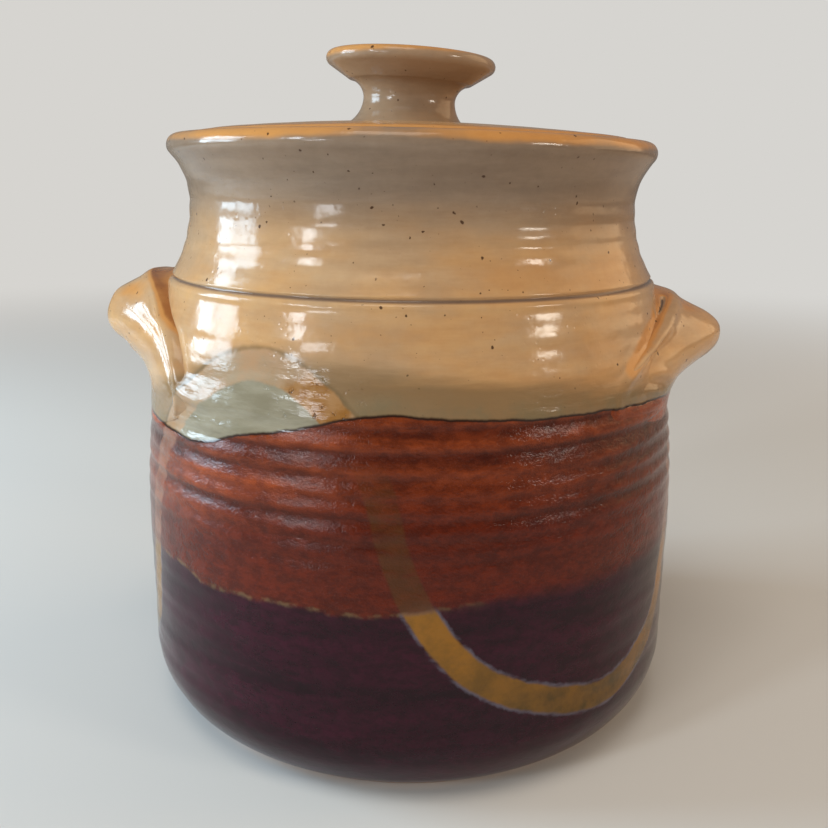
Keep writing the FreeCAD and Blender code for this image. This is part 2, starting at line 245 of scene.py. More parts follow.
def distance_to(line, round_by, height, radius):
    """How far each place is from a line on the wall, in millimetres, and where along the line."""
    arc_length = np.pi / 180 * radius
    nearest, along = np.full(len(height), 1e6), np.zeros(len(height))
    for number, (start, end) in enumerate(zip(line[:-1], line[1:])):
        run_x, run_z = (end[0] - start[0]) * arc_length, end[1] - start[1]
        to_x, to_z = (round_by - start[0]) * arc_length, height - start[1]
        share = np.clip((to_x * run_x + to_z * run_z) / (run_x ** 2 + run_z ** 2), 0, 1)
        away = np.hypot(to_x - share * run_x, to_z - share * run_z)
        along = np.where(away < nearest, number + share, along)
        nearest = np.minimum(nearest, away)
    return nearest, along


def mesh_from(shell, name):
    """Turns a finished bmesh into a mesh and frees it."""
    mesh = bpy.data.meshes.new(name)
    shell.to_mesh(mesh)
    shell.free()
    return mesh


def finish_piece(name, mesh, material, body, nodes):
    """Scales a mesh to metres, shades it smooth, and seats it in the frame in place of its CAD nodes."""
    mesh.transform(Matrix.Scale(MM, 4))
    mesh.shade_smooth()
    mesh.materials.clear()
    mesh.materials.append(material)
    piece = bpy.data.objects.new(name, mesh)
    bpy.context.scene.collection.objects.link(piece)
    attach(piece, body)
    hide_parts(*nodes)
    print(f"{name}: {len(mesh.vertices)} vertices, rides on {body}")
    return piece


# %% [markdown]
# ## Relief from the potter's fingers
#
# The wall isn't a perfect surface of revolution. Fingers leave rings as the clay turns, and the deepest
# have a sharp flank over a gentle one, which catches the light from above. The shoulder has a line cut
# round it, and the front ends of the lugs run out on the wall as low rolls. A bump map could draw all
# this, but the outline of the pot would stay smooth. So each is a function of azimuth and height that
# pushes real vertices, and small wavers keep the rings from looking machined.

# %% Rings, the cut line and the rolls
GROOVES = [  # height, depth, and half width above and below, of the rings that fingers left
    (124.9, 0.50, 1.5, 3.2), (117.8, 0.80, 1.2, 3.5), (110.6, 0.80, 1.3, 3.2), (104.4, 0.55, 1.3, 2.5),
    (98.3, 0.75, 1.5, 2.6), (91.2, 0.30, 1.8, 2.6), (84.4, 0.28, 2.0, 2.8), (77.0, 0.20, 2.4, 2.4),
    (60.0, 0.18, 3.6, 3.6), (50.5, 0.16, 3.0, 3.0), (41.5, 0.22, 4.0, 4.0), (30.0, 0.12, 3.4, 3.4),
    (134.5, 0.16, 2.6, 2.6), (146.5, 0.20, 3.0, 3.0), (154.0, 0.12, 2.2, 2.2), (170.8, 0.30, 2.2, 2.2),
    (176.2, 0.34, 1.8, 1.8), (182.6, 0.32, 2.0, 2.0), (189.5, 0.28, 2.0, 2.0), (196.0, 0.20, 2.2, 2.2),
]
RING_PITCH = 5.6      # of the faint rings between the deep ones
RING_DEPTH = 0.05
LINE_HALF = 0.9
LINE_DEPTH = 1.0
ROLLS = {  # where the front ends of the lugs run out on the wall: half width, then azimuths, heights
           # and how far they stand
    "left": (3.0, [(-56, 131.5, 0.5), (-52, 130, 2.6), (-47, 128.4, 2.6), (-42, 127, 1.4), (-36, 125, 0)]),
    "right": (1.9, [(57, 141, 1.3), (52, 137.8, 1.4), (47.5, 135.2, 1.2), (45, 132, 0.7), (44, 128, 0)]),
}


def waver(round_by):
    """How far a ring rises and falls on its way round."""
    turn = np.radians(round_by)
    return 0.7 * np.sin(turn + 0.6) + 0.25 * np.sin(2 * turn + 2.1) + 0.12 * np.sin(5 * turn)


def ring_depth(round_by, height):
    """Depth of the finger rings at each place."""
    level = height - waver(round_by)
    depth = np.zeros(len(height))
    for groove_height, deepest, above, below in GROOVES:
        strength = 1 + 0.3 * np.sin(3 * np.radians(round_by) + groove_height)
        over = level - groove_height
        depth += strength * deepest * np.exp(-(over / np.where(over > 0, above, below)) ** 2)
    rings = RING_DEPTH * np.sin(2 * np.pi * level / RING_PITCH - np.radians(round_by))
    rings *= 0.6 + 0.9 * np.exp(-((height - 104) / 22) ** 2)
    return (depth + rings) * smoothstep(8, 24, height)


def relief(round_by, height):
    """How far out of the plain outline the wall stands, in millimetres."""
    turn = np.radians(round_by)
    out = 0.30 * np.cos(2 * (turn - 0.5)) + 0.12 * np.cos(3 * turn + 1.0) - ring_depth(round_by, height)
    from_line = height - SHOULDER_HEIGHT - 0.25 * np.sin(turn + 1.0)
    out -= LINE_DEPTH * np.clip(1 - (from_line / LINE_HALF) ** 2, 0, 1) ** 0.7
    out += 0.35 * np.exp(-((from_line + 2.0) / 1.1) ** 2)
    for half_width, roll in ROLLS.values():
        away, along = distance_to([point[:2] for point in roll], round_by, height, BELLY_RADIUS)
        stand = np.interp(along, range(len(roll)), [point[2] for point in roll])
        out += stand * np.exp(-(away / half_width) ** 2)
    return out


print(len(GROOVES), "finger rings, the deepest", max(groove[1] for groove in GROOVES), "mm")

# %% [markdown]
# ## Pressing the relief in
#
# The lip of the pot has sunk a little on the right, as a heavy lip does in the fire, and the lid went
# down with it. That is one function for all thrown pieces, so that they still fit. The rings are pushed
# in first, while heights still mean the same all the way round, and the sag comes last.

# %% Sculpt the jar
LIP_DIP = 1.3
WALL_SWELL = 0.14     # uneven thickness of the thrown wall
INNER_RING = 0.25
INNER_PITCH = 13


def sag(spots):
    """How far the lip, and the lid on it, have sunk on the right."""
    across = smoothstep(-30, 90, spots[:, 0])
    return LIP_DIP * across * smoothstep(NECK_HEIGHT - 8, LIP_HEIGHT - 2, spots[:, 2])


jar_mesh = mesh_from(jar_shell, "pot")
spots = coordinates(jar_mesh)
height = spots[:, 2].copy()
liner = kept(jar_mesh, "liner")
glazed = np.clip(1 - kept(jar_mesh, "bare") - liner, 0, 1)
push = (relief(azimuth(spots), height) + WALL_SWELL * unevenness(spots, 6, 0.3)) * glazed
push *= smoothstep(1, 8, height) * (1 - smoothstep(LIP_HEIGHT - 6, LIP_HEIGHT - 1, height))
inner_rings = INNER_RING * np.sin(height * 2 * np.pi / INNER_PITCH + np.radians(azimuth(spots)))
push += inner_rings * liner * smoothstep(26, 40, height)
scale = 1 + push / np.maximum(np.hypot(spots[:, 0], spots[:, 1]), 1)
spots[:, :2] *= scale[:, None]
keep(jar_mesh, "groove", ring_depth(azimuth(spots), height))
spots[:, 2] -= sag(spots)
move_to(jar_mesh, spots)
print(f"relief from {push.min():.2f} to {push.max():.2f} mm")

# %% [markdown]
# ## Where the glazes meet
#
# The pot was dipped twice and one more glaze was trailed round it. The cream glaze covers the top, an
# iron red the middle and a plum the bottom. Their borders are drawn as heights at a few azimuths. The
# trailed stripe is a line that climbs and falls three times on its way round. For each vertex the
# distance to each of these lines is kept, in millimetres, and the glaze shader decides what happens near
# them. The stripe's distance is negative under its line, which tells the ground inside an arch from the
# ground outside. Painting an image would fix the pattern to one size; distances stay sharp.

# %% The lines between the glazes
CREAM_BORDER = [
    (-75, 117), (-60, 114.6), (-46, 113.7), (-40, 115.0), (-33, 119.4), (-26, 121.8), (-17.5, 124.9),
    (-12, 127.9), (-4, 130.0), (4, 128.7), (20, 127.4), (40, 126.6), (58, 124.6), (78, 123.5), (97, 127),
    (118, 129.5), (140, 126), (163, 128), (188, 130.5), (214, 127), (240, 126), (265, 121),
]
PLUM_BORDER = [
    (-57, 69.6), (-45, 69.6), (-39.5, 67.2), (-30, 68.4), (-19, 69.0), (-8, 67.9), (-1, 69.2), (8, 72.0),
    (20, 72.9), (38, 71.9), (56, 73.2), (76, 71.6), (100, 69.8), (130, 72.8), (160, 71.0), (190, 68.4),
    (215, 71.0), (240, 73.0), (270, 71.0), (290, 69.8),
]
STRIPE_WAVE = [  # one wave: azimuth and height, from a trough over the crest to the next trough
    (-77, 29.8), (-71, 34), (-66.5, 42), (-64.5, 54), (-63.5, 66), (-61.8, 80), (-60, 95), (-57, 109),
    (-52, 120), (-46, 129), (-40, 136.2), (-34.5, 140.6), (-29, 142.2), (-24, 141), (-19, 137),
    (-14.5, 131.4), (-10, 123.5), (-6.3, 113), (-4.3, 102.5), (-3.1, 91.8), (-0.4, 77.7), (2.6, 67.5),
    (6.6, 57), (11.3, 48.2), (17, 41.6), (24, 36.3), (31, 32.4), (37, 30.2),
]
WAVE_LENGTH = 120
ARCH_FEET = (-17, 112, -142)   # azimuths where the stripe's arches run down on the right
BAND_TOP = [  # upper edge of the band where thin red lies under the cream
    (-90, 124), (-72, 125), (-60, 128), (-52, 133), (-45, 140), (-29, 145.5), (-14.5, 143.9), (-2, 141.8),
    (7, 140.4), (16, 138.8), (28, 137), (40, 135.3), (52, 133.2), (66, 129), (90, 128), (108, 135),
    (125, 141), (150, 139), (180, 137), (210, 141), (240, 142), (258, 132),
]


def height_at(border, round_by):
    """The height of a border at each azimuth, with its corners rounded a little."""
    angles, heights = zip(*border)
    near = [np.interp(round_by + step, angles, heights, period=360) for step in (-3, -1.5, 0, 1.5, 3)]
    return np.mean(near, axis=0)


def rounded(line, times):
    """Cuts the corners of an open line of points, which leaves a smooth curve."""
    for _ in range(times):
        start, end = line[:-1], line[1:]
        line = np.stack([0.75 * start + 0.25 * end, 0.25 * start + 0.75 * end], axis=1).reshape(-1, 2)
    return line


def stripe_line():
    """The trailed stripe, with each of its waves a little unlike the others."""
    waves = []
    for number in (-2, -1, 0, 1, 2):
        own = number % 3
        lift = (0, 2.5, -2.0)[own]
        for angle, height in STRIPE_WAVE:
            climbed = min(1.0, max(0.0, (height - 30) / 15))
            stray = (0, 9.5, -5.0)[own] * climbed + (0, 1.2, 1.8)[own] * math.sin(height / 19 + 2 * own)
            upper = max(0.0, (height - 70) / 75)
            waves.append((angle + WAVE_LENGTH * number + stray, height + lift * upper))
    return rounded(np.array(waves), 2)


stripe = stripe_line()
print("stripe:", len(stripe), "points,", f"from {stripe[:, 1].min():.0f} to {stripe[:, 1].max():.0f} mm up")

# %% [markdown]
# ## Keeping distances on the vertices
#
# The shader can't measure how far a point is from a drawn line, so each vertex keeps that distance as a
# number, and the shader reads it in between. *thin* is kept the same way: it says where the cream glaze
# ran off an edge and toasted, on the lip and beside the lugs, and below 0 where it pooled in the line. On
# the top of the lip the toasted orange is partly painted warm light from above.

# %% Mark the jar
LINE_STAIN = 0.7      # half width of the pooled glaze in the line cut round the shoulder
BESIDE_LUGS = [       # azimuths and heights of the thin glaze where the lugs join the wall
    [(-74, 153), (-63, 147), (-58.5, 141), (-55, 135)],
    [(66, 152), (55, 145), (48, 138)],
]
BESIDE_WIDTH = 4.2


def mark_glazes(mesh):
    """Keeps each vertex's distances to the lines between the glazes."""
    spots = coordinates(mesh)
    round_by, height = azimuth(spots), spots[:, 2]
    keep(mesh, "above_cream", height - height_at(CREAM_BORDER, round_by))
    keep(mesh, "above_plum", height - height_at(PLUM_BORDER, round_by))
    keep(mesh, "below_band_top", height_at(BAND_TOP, round_by) - height)
    away, along = distance_to(stripe, round_by, height, np.hypot(spots[:, 0], spots[:, 1]))
    above = height > np.interp(round_by, stripe[:, 0], stripe[:, 1])
    climb = np.interp(along, range(len(stripe)), np.gradient(stripe[:, 1], stripe[:, 0]))
    keep(mesh, "climb", smoothstep(0.0, 1.5, climb))
    keep(mesh, "stripe", np.where(above, away, -away))
    keep(mesh, "fringe", smoothstep(0.2, 0.9, 0.5 + 0.5 * np.sin(np.radians(2 * round_by + 150))))
    rust = [np.exp(-((round_by - foot) / 7.0) ** 2 - ((height - 131.5) / 7.0) ** 2) for foot in ARCH_FEET]
    keep(mesh, "rust", np.sum(rust, axis=0))


mark_glazes(jar_mesh)
spots = coordinates(jar_mesh)
# The lip's top is toasted orange: partly thin glaze over the roll, partly painted warm light from above.
lip_top_toast_and_light = smoothstep(LIP_HEIGHT - 1.5, LIP_HEIGHT + 2.5, spots[:, 2] + sag(spots))
in_line = np.exp(-((spots[:, 2] - SHOULDER_HEIGHT) / LINE_STAIN) ** 2)
by_lugs = [distance_to(line, azimuth(spots), spots[:, 2], BELLY_RADIUS)[0] for line in BESIDE_LUGS]
beside = np.exp(-(np.array(by_lugs) / BESIDE_WIDTH) ** 2)
keep(jar_mesh, "thin", 0.7 * lip_top_toast_and_light - 0.9 * in_line + 0.95 * np.sum(beside, axis=0))
print("kept on the jar:", sorted(item.name for item in jar_mesh.attributes if item.name[0] != "."))

# %% [markdown]
# ## The lid
#
# The lid is an inset one: a low dome that drops inside the lip and rests on the ledge. It comes from the
# same wheel as the jar, and its top keeps faint rings. A disc with a bevel would be quicker to make, but
# its edge would be the same roundness all over, while a thrown rim is fuller above than below.

# %% Throw the lid
LID_STEPS = 192
LID_RADIUS = LIP_INSIDE - 0.8
LID_RIM = 7.2
LID_ROUNDING = 2.6
LID_CROWN = 10.9
LID_PLATE = 7.0
LID_RING = 0.12
LID_PITCH = 9

lid_outline = [
    (0, LID_CROWN - LID_PLATE, 0.016, 3.0, "bare"),
    (LID_RADIUS - 9.0, 0, 0, 2.5, "bare"),
    (LID_RADIUS, 0, 0, 1.0, "bare"),
    (LID_RADIUS, LID_RIM - LID_ROUNDING, -QUARTER_BOW, 0.6, "glaze"),
    (LID_RADIUS - LID_ROUNDING, LID_RIM, -0.014, 1.0, "glaze"),
    (0, LID_CROWN, 0, 1.0, "glaze"),
]
lid_mesh = mesh_from(throw(lid_outline, LID_STEPS), "lid")
lid_mesh.transform(Matrix.Translation((0, 0, SEAT_HEIGHT)))
spots = coordinates(lid_mesh)
turned = np.hypot(spots[:, 0], spots[:, 1])
upper_side = smoothstep(SEAT_HEIGHT + 4.6, SEAT_HEIGHT + 6.5, spots[:, 2])
lid_rings = LID_RING * np.sin(turned * 2 * np.pi / LID_PITCH - np.radians(azimuth(spots)))
spots[:, 2] += lid_rings * upper_side
spots[:, 2] -= sag(spots)
move_to(lid_mesh, spots)
# The lid's top is toasted orange, most towards its edge: partly thin glaze over the rounding, partly painted
# warm light from above.
lid_edge_toast_and_light = smoothstep(LID_RADIUS - 9, LID_RADIUS - 1.5, turned)
keep(lid_mesh, "thin", 0.35 + 0.55 * lid_edge_toast_and_light)
print("lid:", len(lid_mesh.vertices), "vertices")

# %% [markdown]
# ## The knob
#
# The knob is a waisted stem under a wide disc, so that fingers find a hold from below. It is thrown
# upright like the rest and then leans: it was stuck on a little off centre and sagged to the right in
# the fire. Its foot is sunk into the lid, as slip would join the two.

# %% Throw the knob
KNOB_STEPS = 128
KNOB_SINK = 3.0
KNOB_WAIST = 16.7
KNOB_BASE = KNOB_WAIST + 5.9
KNOB_DISC = KNOB_WAIST + 13.9
KNOB_ROLL = 2.6
DISC_HEIGHT = 24.4
DISC_ROLL_ANGLE = math.radians(62)
KNOB_LEAN = math.radians(2.3)
KNOB_SHIFT = -1.8

knob_outline = [
    (0, 0, 0, 4.0, "glaze"),
    (KNOB_BASE, 0, 0, 0.8, "glaze"),
    (KNOB_BASE, 2.2, 0.13, 0.6, "glaze"),
    (KNOB_WAIST, 11.4, 0.19, 0.6, "glaze"),
    (KNOB_WAIST + 5.6, 17.7, 0, 0.6, "glaze"),
    (KNOB_DISC - KNOB_ROLL * (1 - math.cos(DISC_ROLL_ANGLE)),
     DISC_HEIGHT - KNOB_ROLL * math.sin(DISC_ROLL_ANGLE), -0.39, 0.5, "glaze"),
    (KNOB_DISC - KNOB_ROLL, DISC_HEIGHT + KNOB_ROLL, 0.0125, 0.8, "glaze"),
    (0, DISC_HEIGHT + KNOB_ROLL - 1.4, 0, 0.8, "glaze"),
]
knob_mesh = mesh_from(throw(knob_outline, KNOB_STEPS), "knob")
knob_foot = SEAT_HEIGHT + LID_CROWN - KNOB_SINK
knob_place = Matrix.Translation((KNOB_SHIFT, 0, knob_foot))
knob_mesh.transform(knob_place @ Matrix.Rotation(KNOB_LEAN, 4, "Y"))
spots = coordinates(knob_mesh)
spots[:, 2] -= sag(spots)
move_to(knob_mesh, spots)
from_base = spots[:, 2] - knob_foot
# The disc's top rim is toasted orange: partly thin glaze on its roll, partly painted warm light from above.
knob_rim_toast_and_light = smoothstep(DISC_HEIGHT - 1.5, DISC_HEIGHT + 2.0, from_base)
keep(knob_mesh, "thin", 0.75 * knob_rim_toast_and_light + 0.3 * (1 - smoothstep(3, 6, from_base)))
print("knob:", len(knob_mesh.vertices), "vertices")

# %% [markdown]
# ## The section of a pulled lug
#
# A lug is a strap of clay, pulled by hand, arched over a hub on the wall and pressed down at both
# ends. Its section is written once, as places along the strap and out from the wall. At mid-arch the
# section stands full, with a hollow for the fingers beneath it. Towards a foot it flattens, and its edges
# are smeared out to nothing, as a thumb does to join wet clay.

# %% Sections of a strap
LUG_STAND = 19.4      # how far the nose stands out from the belly
LUG_ROOT = 3.0        # how deep the strap is sunk into the wall
LUG_THICKNESS = {"left": 14.0, "right": 9.0}
LUG_FOOT = 2.2        # thickness of the strap where it is pressed down
LUG_EDGE = 1.25       # the lower edge, where the strap's upper edge is 0
LUGS = {  # hub's drop under the shoulder line, rise to the upper edge and to the nose, swing in
          # degrees, and the rise to the upper and lower edge of a foot
    "left": (69.2, 72.0, 46.0, 61.0, 77.0, 45.0),
    "right": (55.2, 51.9, 31.5, 73.0, 77.0, 40.0),
}
STRAP_OUTSIDE = {  # along the strap's width, and out as a share of the stand-off from the wall
    "left": [(0.00, 0.50), (0.09, 0.46), (0.19, 0.62), (0.31, 0.93), (0.46, 1.00),
             (0.68, 1.04), (0.92, 1.00), (1.12, 0.62), (LUG_EDGE, 0.64)],
    "right": [(0.00, 0.32), (0.09, 0.37), (0.19, 0.42), (0.31, 0.58), (0.46, 0.83),
              (0.68, 1.03), (0.92, 1.01), (1.12, 0.97), (LUG_EDGE, 0.80)],
}
STRAP_UNDERSIDE = [(1.17, 0.98), (0.97, 1.00), (0.76, 0.80), (0.56, 0.35)]
STRAP_ROOTS = (-0.10, 0.40)   # the two corners of the section inside the wall
STRAP_STATIONS = [  # share of the swing, fullness at the left and the right lug, share of the width
    (0.00, {"left": 1.00, "right": 1.00}, 1.00),
    (0.28, {"left": 0.64, "right": 0.88}, 1.00),
    (0.55, {"left": 0.12, "right": 0.48}, 1.00),
    (0.80, {"left": 0.02, "right": 0.12}, 1.00),
    (1.00, {"left": 0.00, "right": 0.00}, 0.88),
    (1.10, {"left": 0.00, "right": 0.00}, 0.55),
]


def wall_radius(height):
    """Outside radius of the jar between the belly and the shoulder line."""
    rise, draw_in = SHOULDER_HEIGHT - BELLY_END, BELLY_RADIUS - SHOULDER_RADIUS
    bend = (rise ** 2 + draw_in ** 2) / (2 * draw_in)
    return BELLY_RADIUS - bend + math.sqrt(bend ** 2 - (height - BELLY_END) ** 2)


def strap_section(hand, share, fullness, width):
    """Points round the strap at a share of the way from mid-arch to a foot."""
    hub_drop, upper, lower, swing, foot_top, foot_bottom = LUGS[hand]
    hub = SHOULDER_HEIGHT - hub_drop
    angle = math.radians(swing * share)
    full = BELLY_RADIUS + LUG_STAND - wall_radius(hub + lower)
    upper += (foot_top - upper) * share ** 2
    lower += (foot_bottom - lower) * share ** 2
    narrowed = (upper - lower) * (1 - width) / 2
    upper, lower = upper - narrowed, lower + narrowed
    foot = LUG_FOOT * min(1.0, 2.5 - 2.6 * abs(share))
    stand = foot + (full - foot) * fullness
    hollow = (full - LUG_THICKNESS[hand]) * fullness
    flat = 1 - fullness
    outline = [(STRAP_ROOTS[0], -1.5 * LUG_ROOT)]
    for along, out in STRAP_OUTSIDE[hand]:
        lens = math.sin(math.pi * along / LUG_EDGE) ** (1 + flat ** 3)
        outline.append((along, stand * out * (fullness + flat * lens)))
    outline += [(along, hollow * out - LUG_ROOT * flat) for along, out in STRAP_UNDERSIDE]
    outline.append((STRAP_ROOTS[1], -1.5 * LUG_ROOT))
    points = []
    for along, out in outline:
        reach = upper - (upper - lower) * along
        y = -reach * math.sin(angle)
        z = hub + reach * math.cos(angle)
        x = math.sqrt(wall_radius(z) ** 2 - y ** 2) + out
        points.append(Vector((x if hand == "right" else -x, y, z)))
    return points


mid_arch = strap_section("right", 0.0, 1.0, 1.0)
print(len(mid_arch), "points in a section, its nose", f"{max(point.x for point in mid_arch):.1f} mm out")

# %% [markdown]
# ## Pulling the lugs
#
# The section is carried over the arch station by station with the extrude operator, which makes a
# coarse cage of long faces. A Subdivision Surface then rounds the cage. A curve with a bevel object
# would keep one section all the way, and this strap changes from a lobe to a flat foot. The cage also
# carries three numbers to the fine mesh: how far along the arch, how far across the strap, and whether
# outside or beneath.

# %% Pull the lugs
LUG_LEVELS = 4


def pull_lug(hand):
    """Extrudes the strap's section over its arch and rounds the cage."""
    back = [(-share, full, width) for share, full, width in STRAP_STATIONS[:0:-1]]
    sections = [strap_section(hand, share, full[hand], width)
                for share, full, width in back + STRAP_STATIONS]
    shares = [share for share, full, width in back + STRAP_STATIONS]
    places = [(along, 1.0) for along, out in STRAP_OUTSIDE[hand]]
    beneath = [(along, 0.0) for along, out in STRAP_UNDERSIDE]
    places = [(STRAP_ROOTS[0], 0.0), *places, *beneath, (STRAP_ROOTS[1], 0.0)]
    cage = bmesh.new()
    layers = [cage.verts.layers.float.new(name) for name in ("swing", "along", "outer")]
    bmesh.ops.create_circle(cage, cap_ends=True, radius=1, segments=len(sections[0]))
    end = cage.faces[:][0]
    for number, (share, section) in enumerate(zip(shares, sections)):
        if number > 0:
            made = bmesh.ops.extrude_face_region(cage, geom=[end])
            if number > 1:
                bmesh.ops.delete(cage, geom=[end], context="FACES_ONLY")
            end = next(item for item in made["geom"] if isinstance(item, bmesh.types.BMFace))
        for vert, point, place in zip(end.verts, section, places):
            vert.co = point
            for layer, value in zip(layers, (share, *place)):
                vert[layer] = value
    bmesh.ops.recalc_face_normals(cage, faces=cage.faces)
    coarse = bpy.data.objects.new(f"lug_{hand}_cage", mesh_from(cage, f"lug_{hand}_cage"))
    bpy.context.scene.collection.objects.link(coarse)
    rounding = coarse.modifiers.new("rounding", "SUBSURF")
    rounding.levels = rounding.render_levels = LUG_LEVELS
    fine = bpy.data.meshes.new_from_object(coarse.evaluated_get(bpy.context.evaluated_depsgraph_get()))
    fine.name = f"lug_{hand}"
    bpy.data.objects.remove(coarse)
    return fine


lug_meshes = {hand: pull_lug(hand) for hand in LUGS}
print({hand: len(mesh.polygons) for hand, mesh in lug_meshes.items()}, "faces")

# %% [markdown]
# ## Finger marks on the lugs
#
# Along the arch and across the strap, the marks of a thumb are easy to place. A channel runs between
# the wall and a rolled ridge, the ridge runs down into the front foot, and a shallow valley lies outside
# it. The left foot is pinched in beside its ridge, the front end of the right lug is pinched into
# ruffles, and a small crack opened in its channel. A sculpting brush would do it by hand; paths with a
# width do it the same way each time. The glaze ran thin in the channel, so its mask also colours it.

# %% Sculpt the lugs
MARKS = {  # half width across the strap, then the path: share of the swing, place across the strap and
           # height over the plain strap
    "left": {
        "channel": (0.085, [(-0.8, -0.03, 0), (-0.5, -0.03, -1.8), (0, -0.03, -2.4), (0.45, -0.02, -3.2),
                            (0.60, -0.03, -3.0), (0.74, -0.07, -1.4), (0.85, -0.1, 0)]),
        "roll": (0.10, [(-1, 0.05, 0), (-0.7, 0.12, 1.8), (0, 0.08, 0.8), (0.3, 0.09, 1.4),
                        (0.48, 0.11, 2.8), (0.6, 0.11, 4.0), (0.73, 0.09, 4.2), (0.85, 0.09, 3.6),
                        (0.95, 0.12, 2.6), (1.02, 0.17, 1.8), (1.1, 0.22, 0.6)]),
        "pinch": (0.08, [(0.66, -0.06, 0), (0.76, -0.06, -2.0), (0.86, -0.05, -3.0), (0.93, -0.02, -1.6),
                         (1.0, 0.02, 0)]),
        "valley": (0.085, [(-1, 0.3, 0), (-0.7, 0.3, -0.6), (-0.4, 0.3, 0), (0.35, 0.30, -0.4),
                           (0.55, 0.28, -1.3), (0.73, 0.25, -1.4), (0.87, 0.25, -1.0), (1, 0.32, 0)]),
    },
    "right": {
        "channel": (0.085, [(-0.9, 0, 0), (-0.5, 0.02, -0.8), (0, 0.0, -0.8), (0.3, 0.0, -1.4),
                            (0.57, 0.03, -2.0), (0.75, 0.0, -1.8), (0.9, -0.06, -1.0), (1, -0.1, 0)]),
        "roll": (0.075, [(-0.9, 0.05, 0), (-0.6, 0.15, 0.8), (-0.3, 0.13, 0.4), (0.1, 0.14, 0.5),
                         (0.35, 0.17, 0.9), (0.57, 0.20, 1.7), (0.75, 0.13, 2.3), (0.9, 0.0, 2.0),
                         (1.05, -0.05, 1.2)]),
        "crack": (0.015, [(0.24, 0.0, 0), (0.30, 0.0, -1.0), (0.44, 0.03, -1.0), (0.50, 0.04, 0)]),
        "valley": (0.080, [(-0.9, 0.3, 0), (-0.6, 0.3, -0.5), (-0.4, 0.3, 0), (0.45, 0.40, 0),
                           (0.65, 0.33, -1.0), (0.9, 0.2, -1.0), (1.02, 0.15, 0)]),
    },
}
RUFFLES = 0.5         # height of the pinches at the front end of the right lug
RUFFLE_TURNS = 60     # how close together they are
LUG_WANDER = 0.35     # uneven thickness of a hand-pulled strap


def sculpt_lug(hand, mesh):
    """Pushes the finger marks into a lug and keeps where its glaze ran thin."""
    spots = coordinates(mesh)
    normals = np.empty(3 * len(mesh.vertices))
    mesh.vertices.foreach_get("normal", normals)
    normals = normals.reshape(-1, 3)
    swing, along, outer = kept(mesh, "swing"), kept(mesh, "along"), kept(mesh, "outer")
    outside = np.maximum(smoothstep(0.25, 0.75, outer), 1 - smoothstep(0.0, 0.08, along))
    push = np.zeros(len(spots))
    masks = {}
    for mark, (half_width, path) in MARKS[hand].items():
        swings, middles, heights = zip(*path)
        across = (along - np.interp(swing, swings, middles)) / half_width
        masks[mark] = np.interp(swing, swings, heights) * np.exp(-across ** 2) * outside
        push += masks[mark]
    if hand == "right":
        front = smoothstep(0.72, 0.85, swing) * (1 - smoothstep(1.0, 1.08, swing)) * outside
        middle = np.exp(-((along - 0.55) / 0.3) ** 2)
        push += RUFFLES * front * middle * np.sin(swing * RUFFLE_TURNS + 5 * along)
    push += LUG_WANDER * unevenness(spots, 7, 0.5) * (1 - smoothstep(0.6, 0.9, np.abs(swing)))
    spots += normals * push[:, None]
    move_to(mesh, spots)
    for name in ("bare", "liner", "groove"):
        keep(mesh, name, np.zeros(len(spots)))
    patch = np.exp(-((along - 0.25) / 0.14) ** 2 - ((np.abs(swing) - 0.2) / 0.16) ** 2) * outside
    channel_thin = np.clip(-masks["channel"], 0, 1.25)
    keep(mesh, "thin", np.clip(channel_thin + 0.8 * patch, 0, 1.5) + 2.4 * masks.get("crack", 0))
    mark_glazes(mesh)
    print(hand, "lug:", len(spots), "vertices, pushed", f"{push.min():.1f} to {push.max():.1f} mm")


for hand, mesh in lug_meshes.items():
    sculpt_lug(hand, mesh)


# %% [markdown]
# ## Colours and a short way to wire nodes
#
# Colours are written as they look, in 0 to 255, and turned into the linear values that shaders use.
# The helpers add one node each and return the socket that matters, so a finish reads like a recipe.

# %% Node helpers
def srgb(red, green, blue):
    """A colour as seen, in the linear values of a shader."""
    linear = [(part / 255 / 12.92 if part <= 10 else ((part / 255 + 0.055) / 1.055) ** 2.4)
              for part in (red, green, blue)]
    return (*linear, 1.0)


def neutral(level):
    """A grey of a linear value."""
    return (level, level, level, 1.0)


def fill(tree, made, inputs):
    """Links or fills the inputs of a node by name or number."""
    for socket, value in (inputs or {}).items():
        if isinstance(value, bpy.types.NodeSocket):
            tree.links.new(value, made.inputs[socket])
        else:
            made.inputs[socket].default_value = value
    return made


def node(tree, kind, inputs=None, **settings):
    """Adds a node, applies its settings, and fills the inputs named."""
    made = tree.nodes.new(f"ShaderNode{kind}")
    for name, value in settings.items():
        setattr(made, name, value)
    return fill(tree, made, inputs)


def maths(tree, operation, *values):
    """One Math node."""
    return node(tree, "Math", dict(enumerate(values)), operation=operation).outputs[0]


def mix(tree, share, first, second, blend="MIX"):
    """Blends two colours."""
    made = node(tree, "Mix", {0: share, 6: first, 7: second}, data_type="RGBA", blend_type=blend)
    return made.outputs[2]


def fade(tree, value, low, high):
    """A mask that rises from 0 at low to 1 at high, or falls where low is the larger."""
    inputs = {"Value": value, "From Min": low, "From Max": high}
    return node(tree, "MapRange", inputs, interpolation_type="SMOOTHSTEP").outputs[0]


def cloud(tree, place, scale, detail=2.0, roughness=0.5, stretch=None):
    """Noise with its middle at 0.5. stretch scales the place along x, y and z first."""
    if stretch:
        place = node(tree, "Mapping", {"Vector": place, "Scale": stretch}).outputs[0]
    inputs = {"Vector": place, "Scale": scale, "Detail": detail, "Roughness": roughness}
    return node(tree, "TexNoise", inputs).outputs[0]


def object_place(tree):
    """Where on its own piece a point lies, in metres."""
    return node(tree, "TexCoord").outputs["Object"]


def value_of(tree, name):
    """A number kept on the vertices."""
    return node(tree, "Attribute", attribute_name=name).outputs["Fac"]


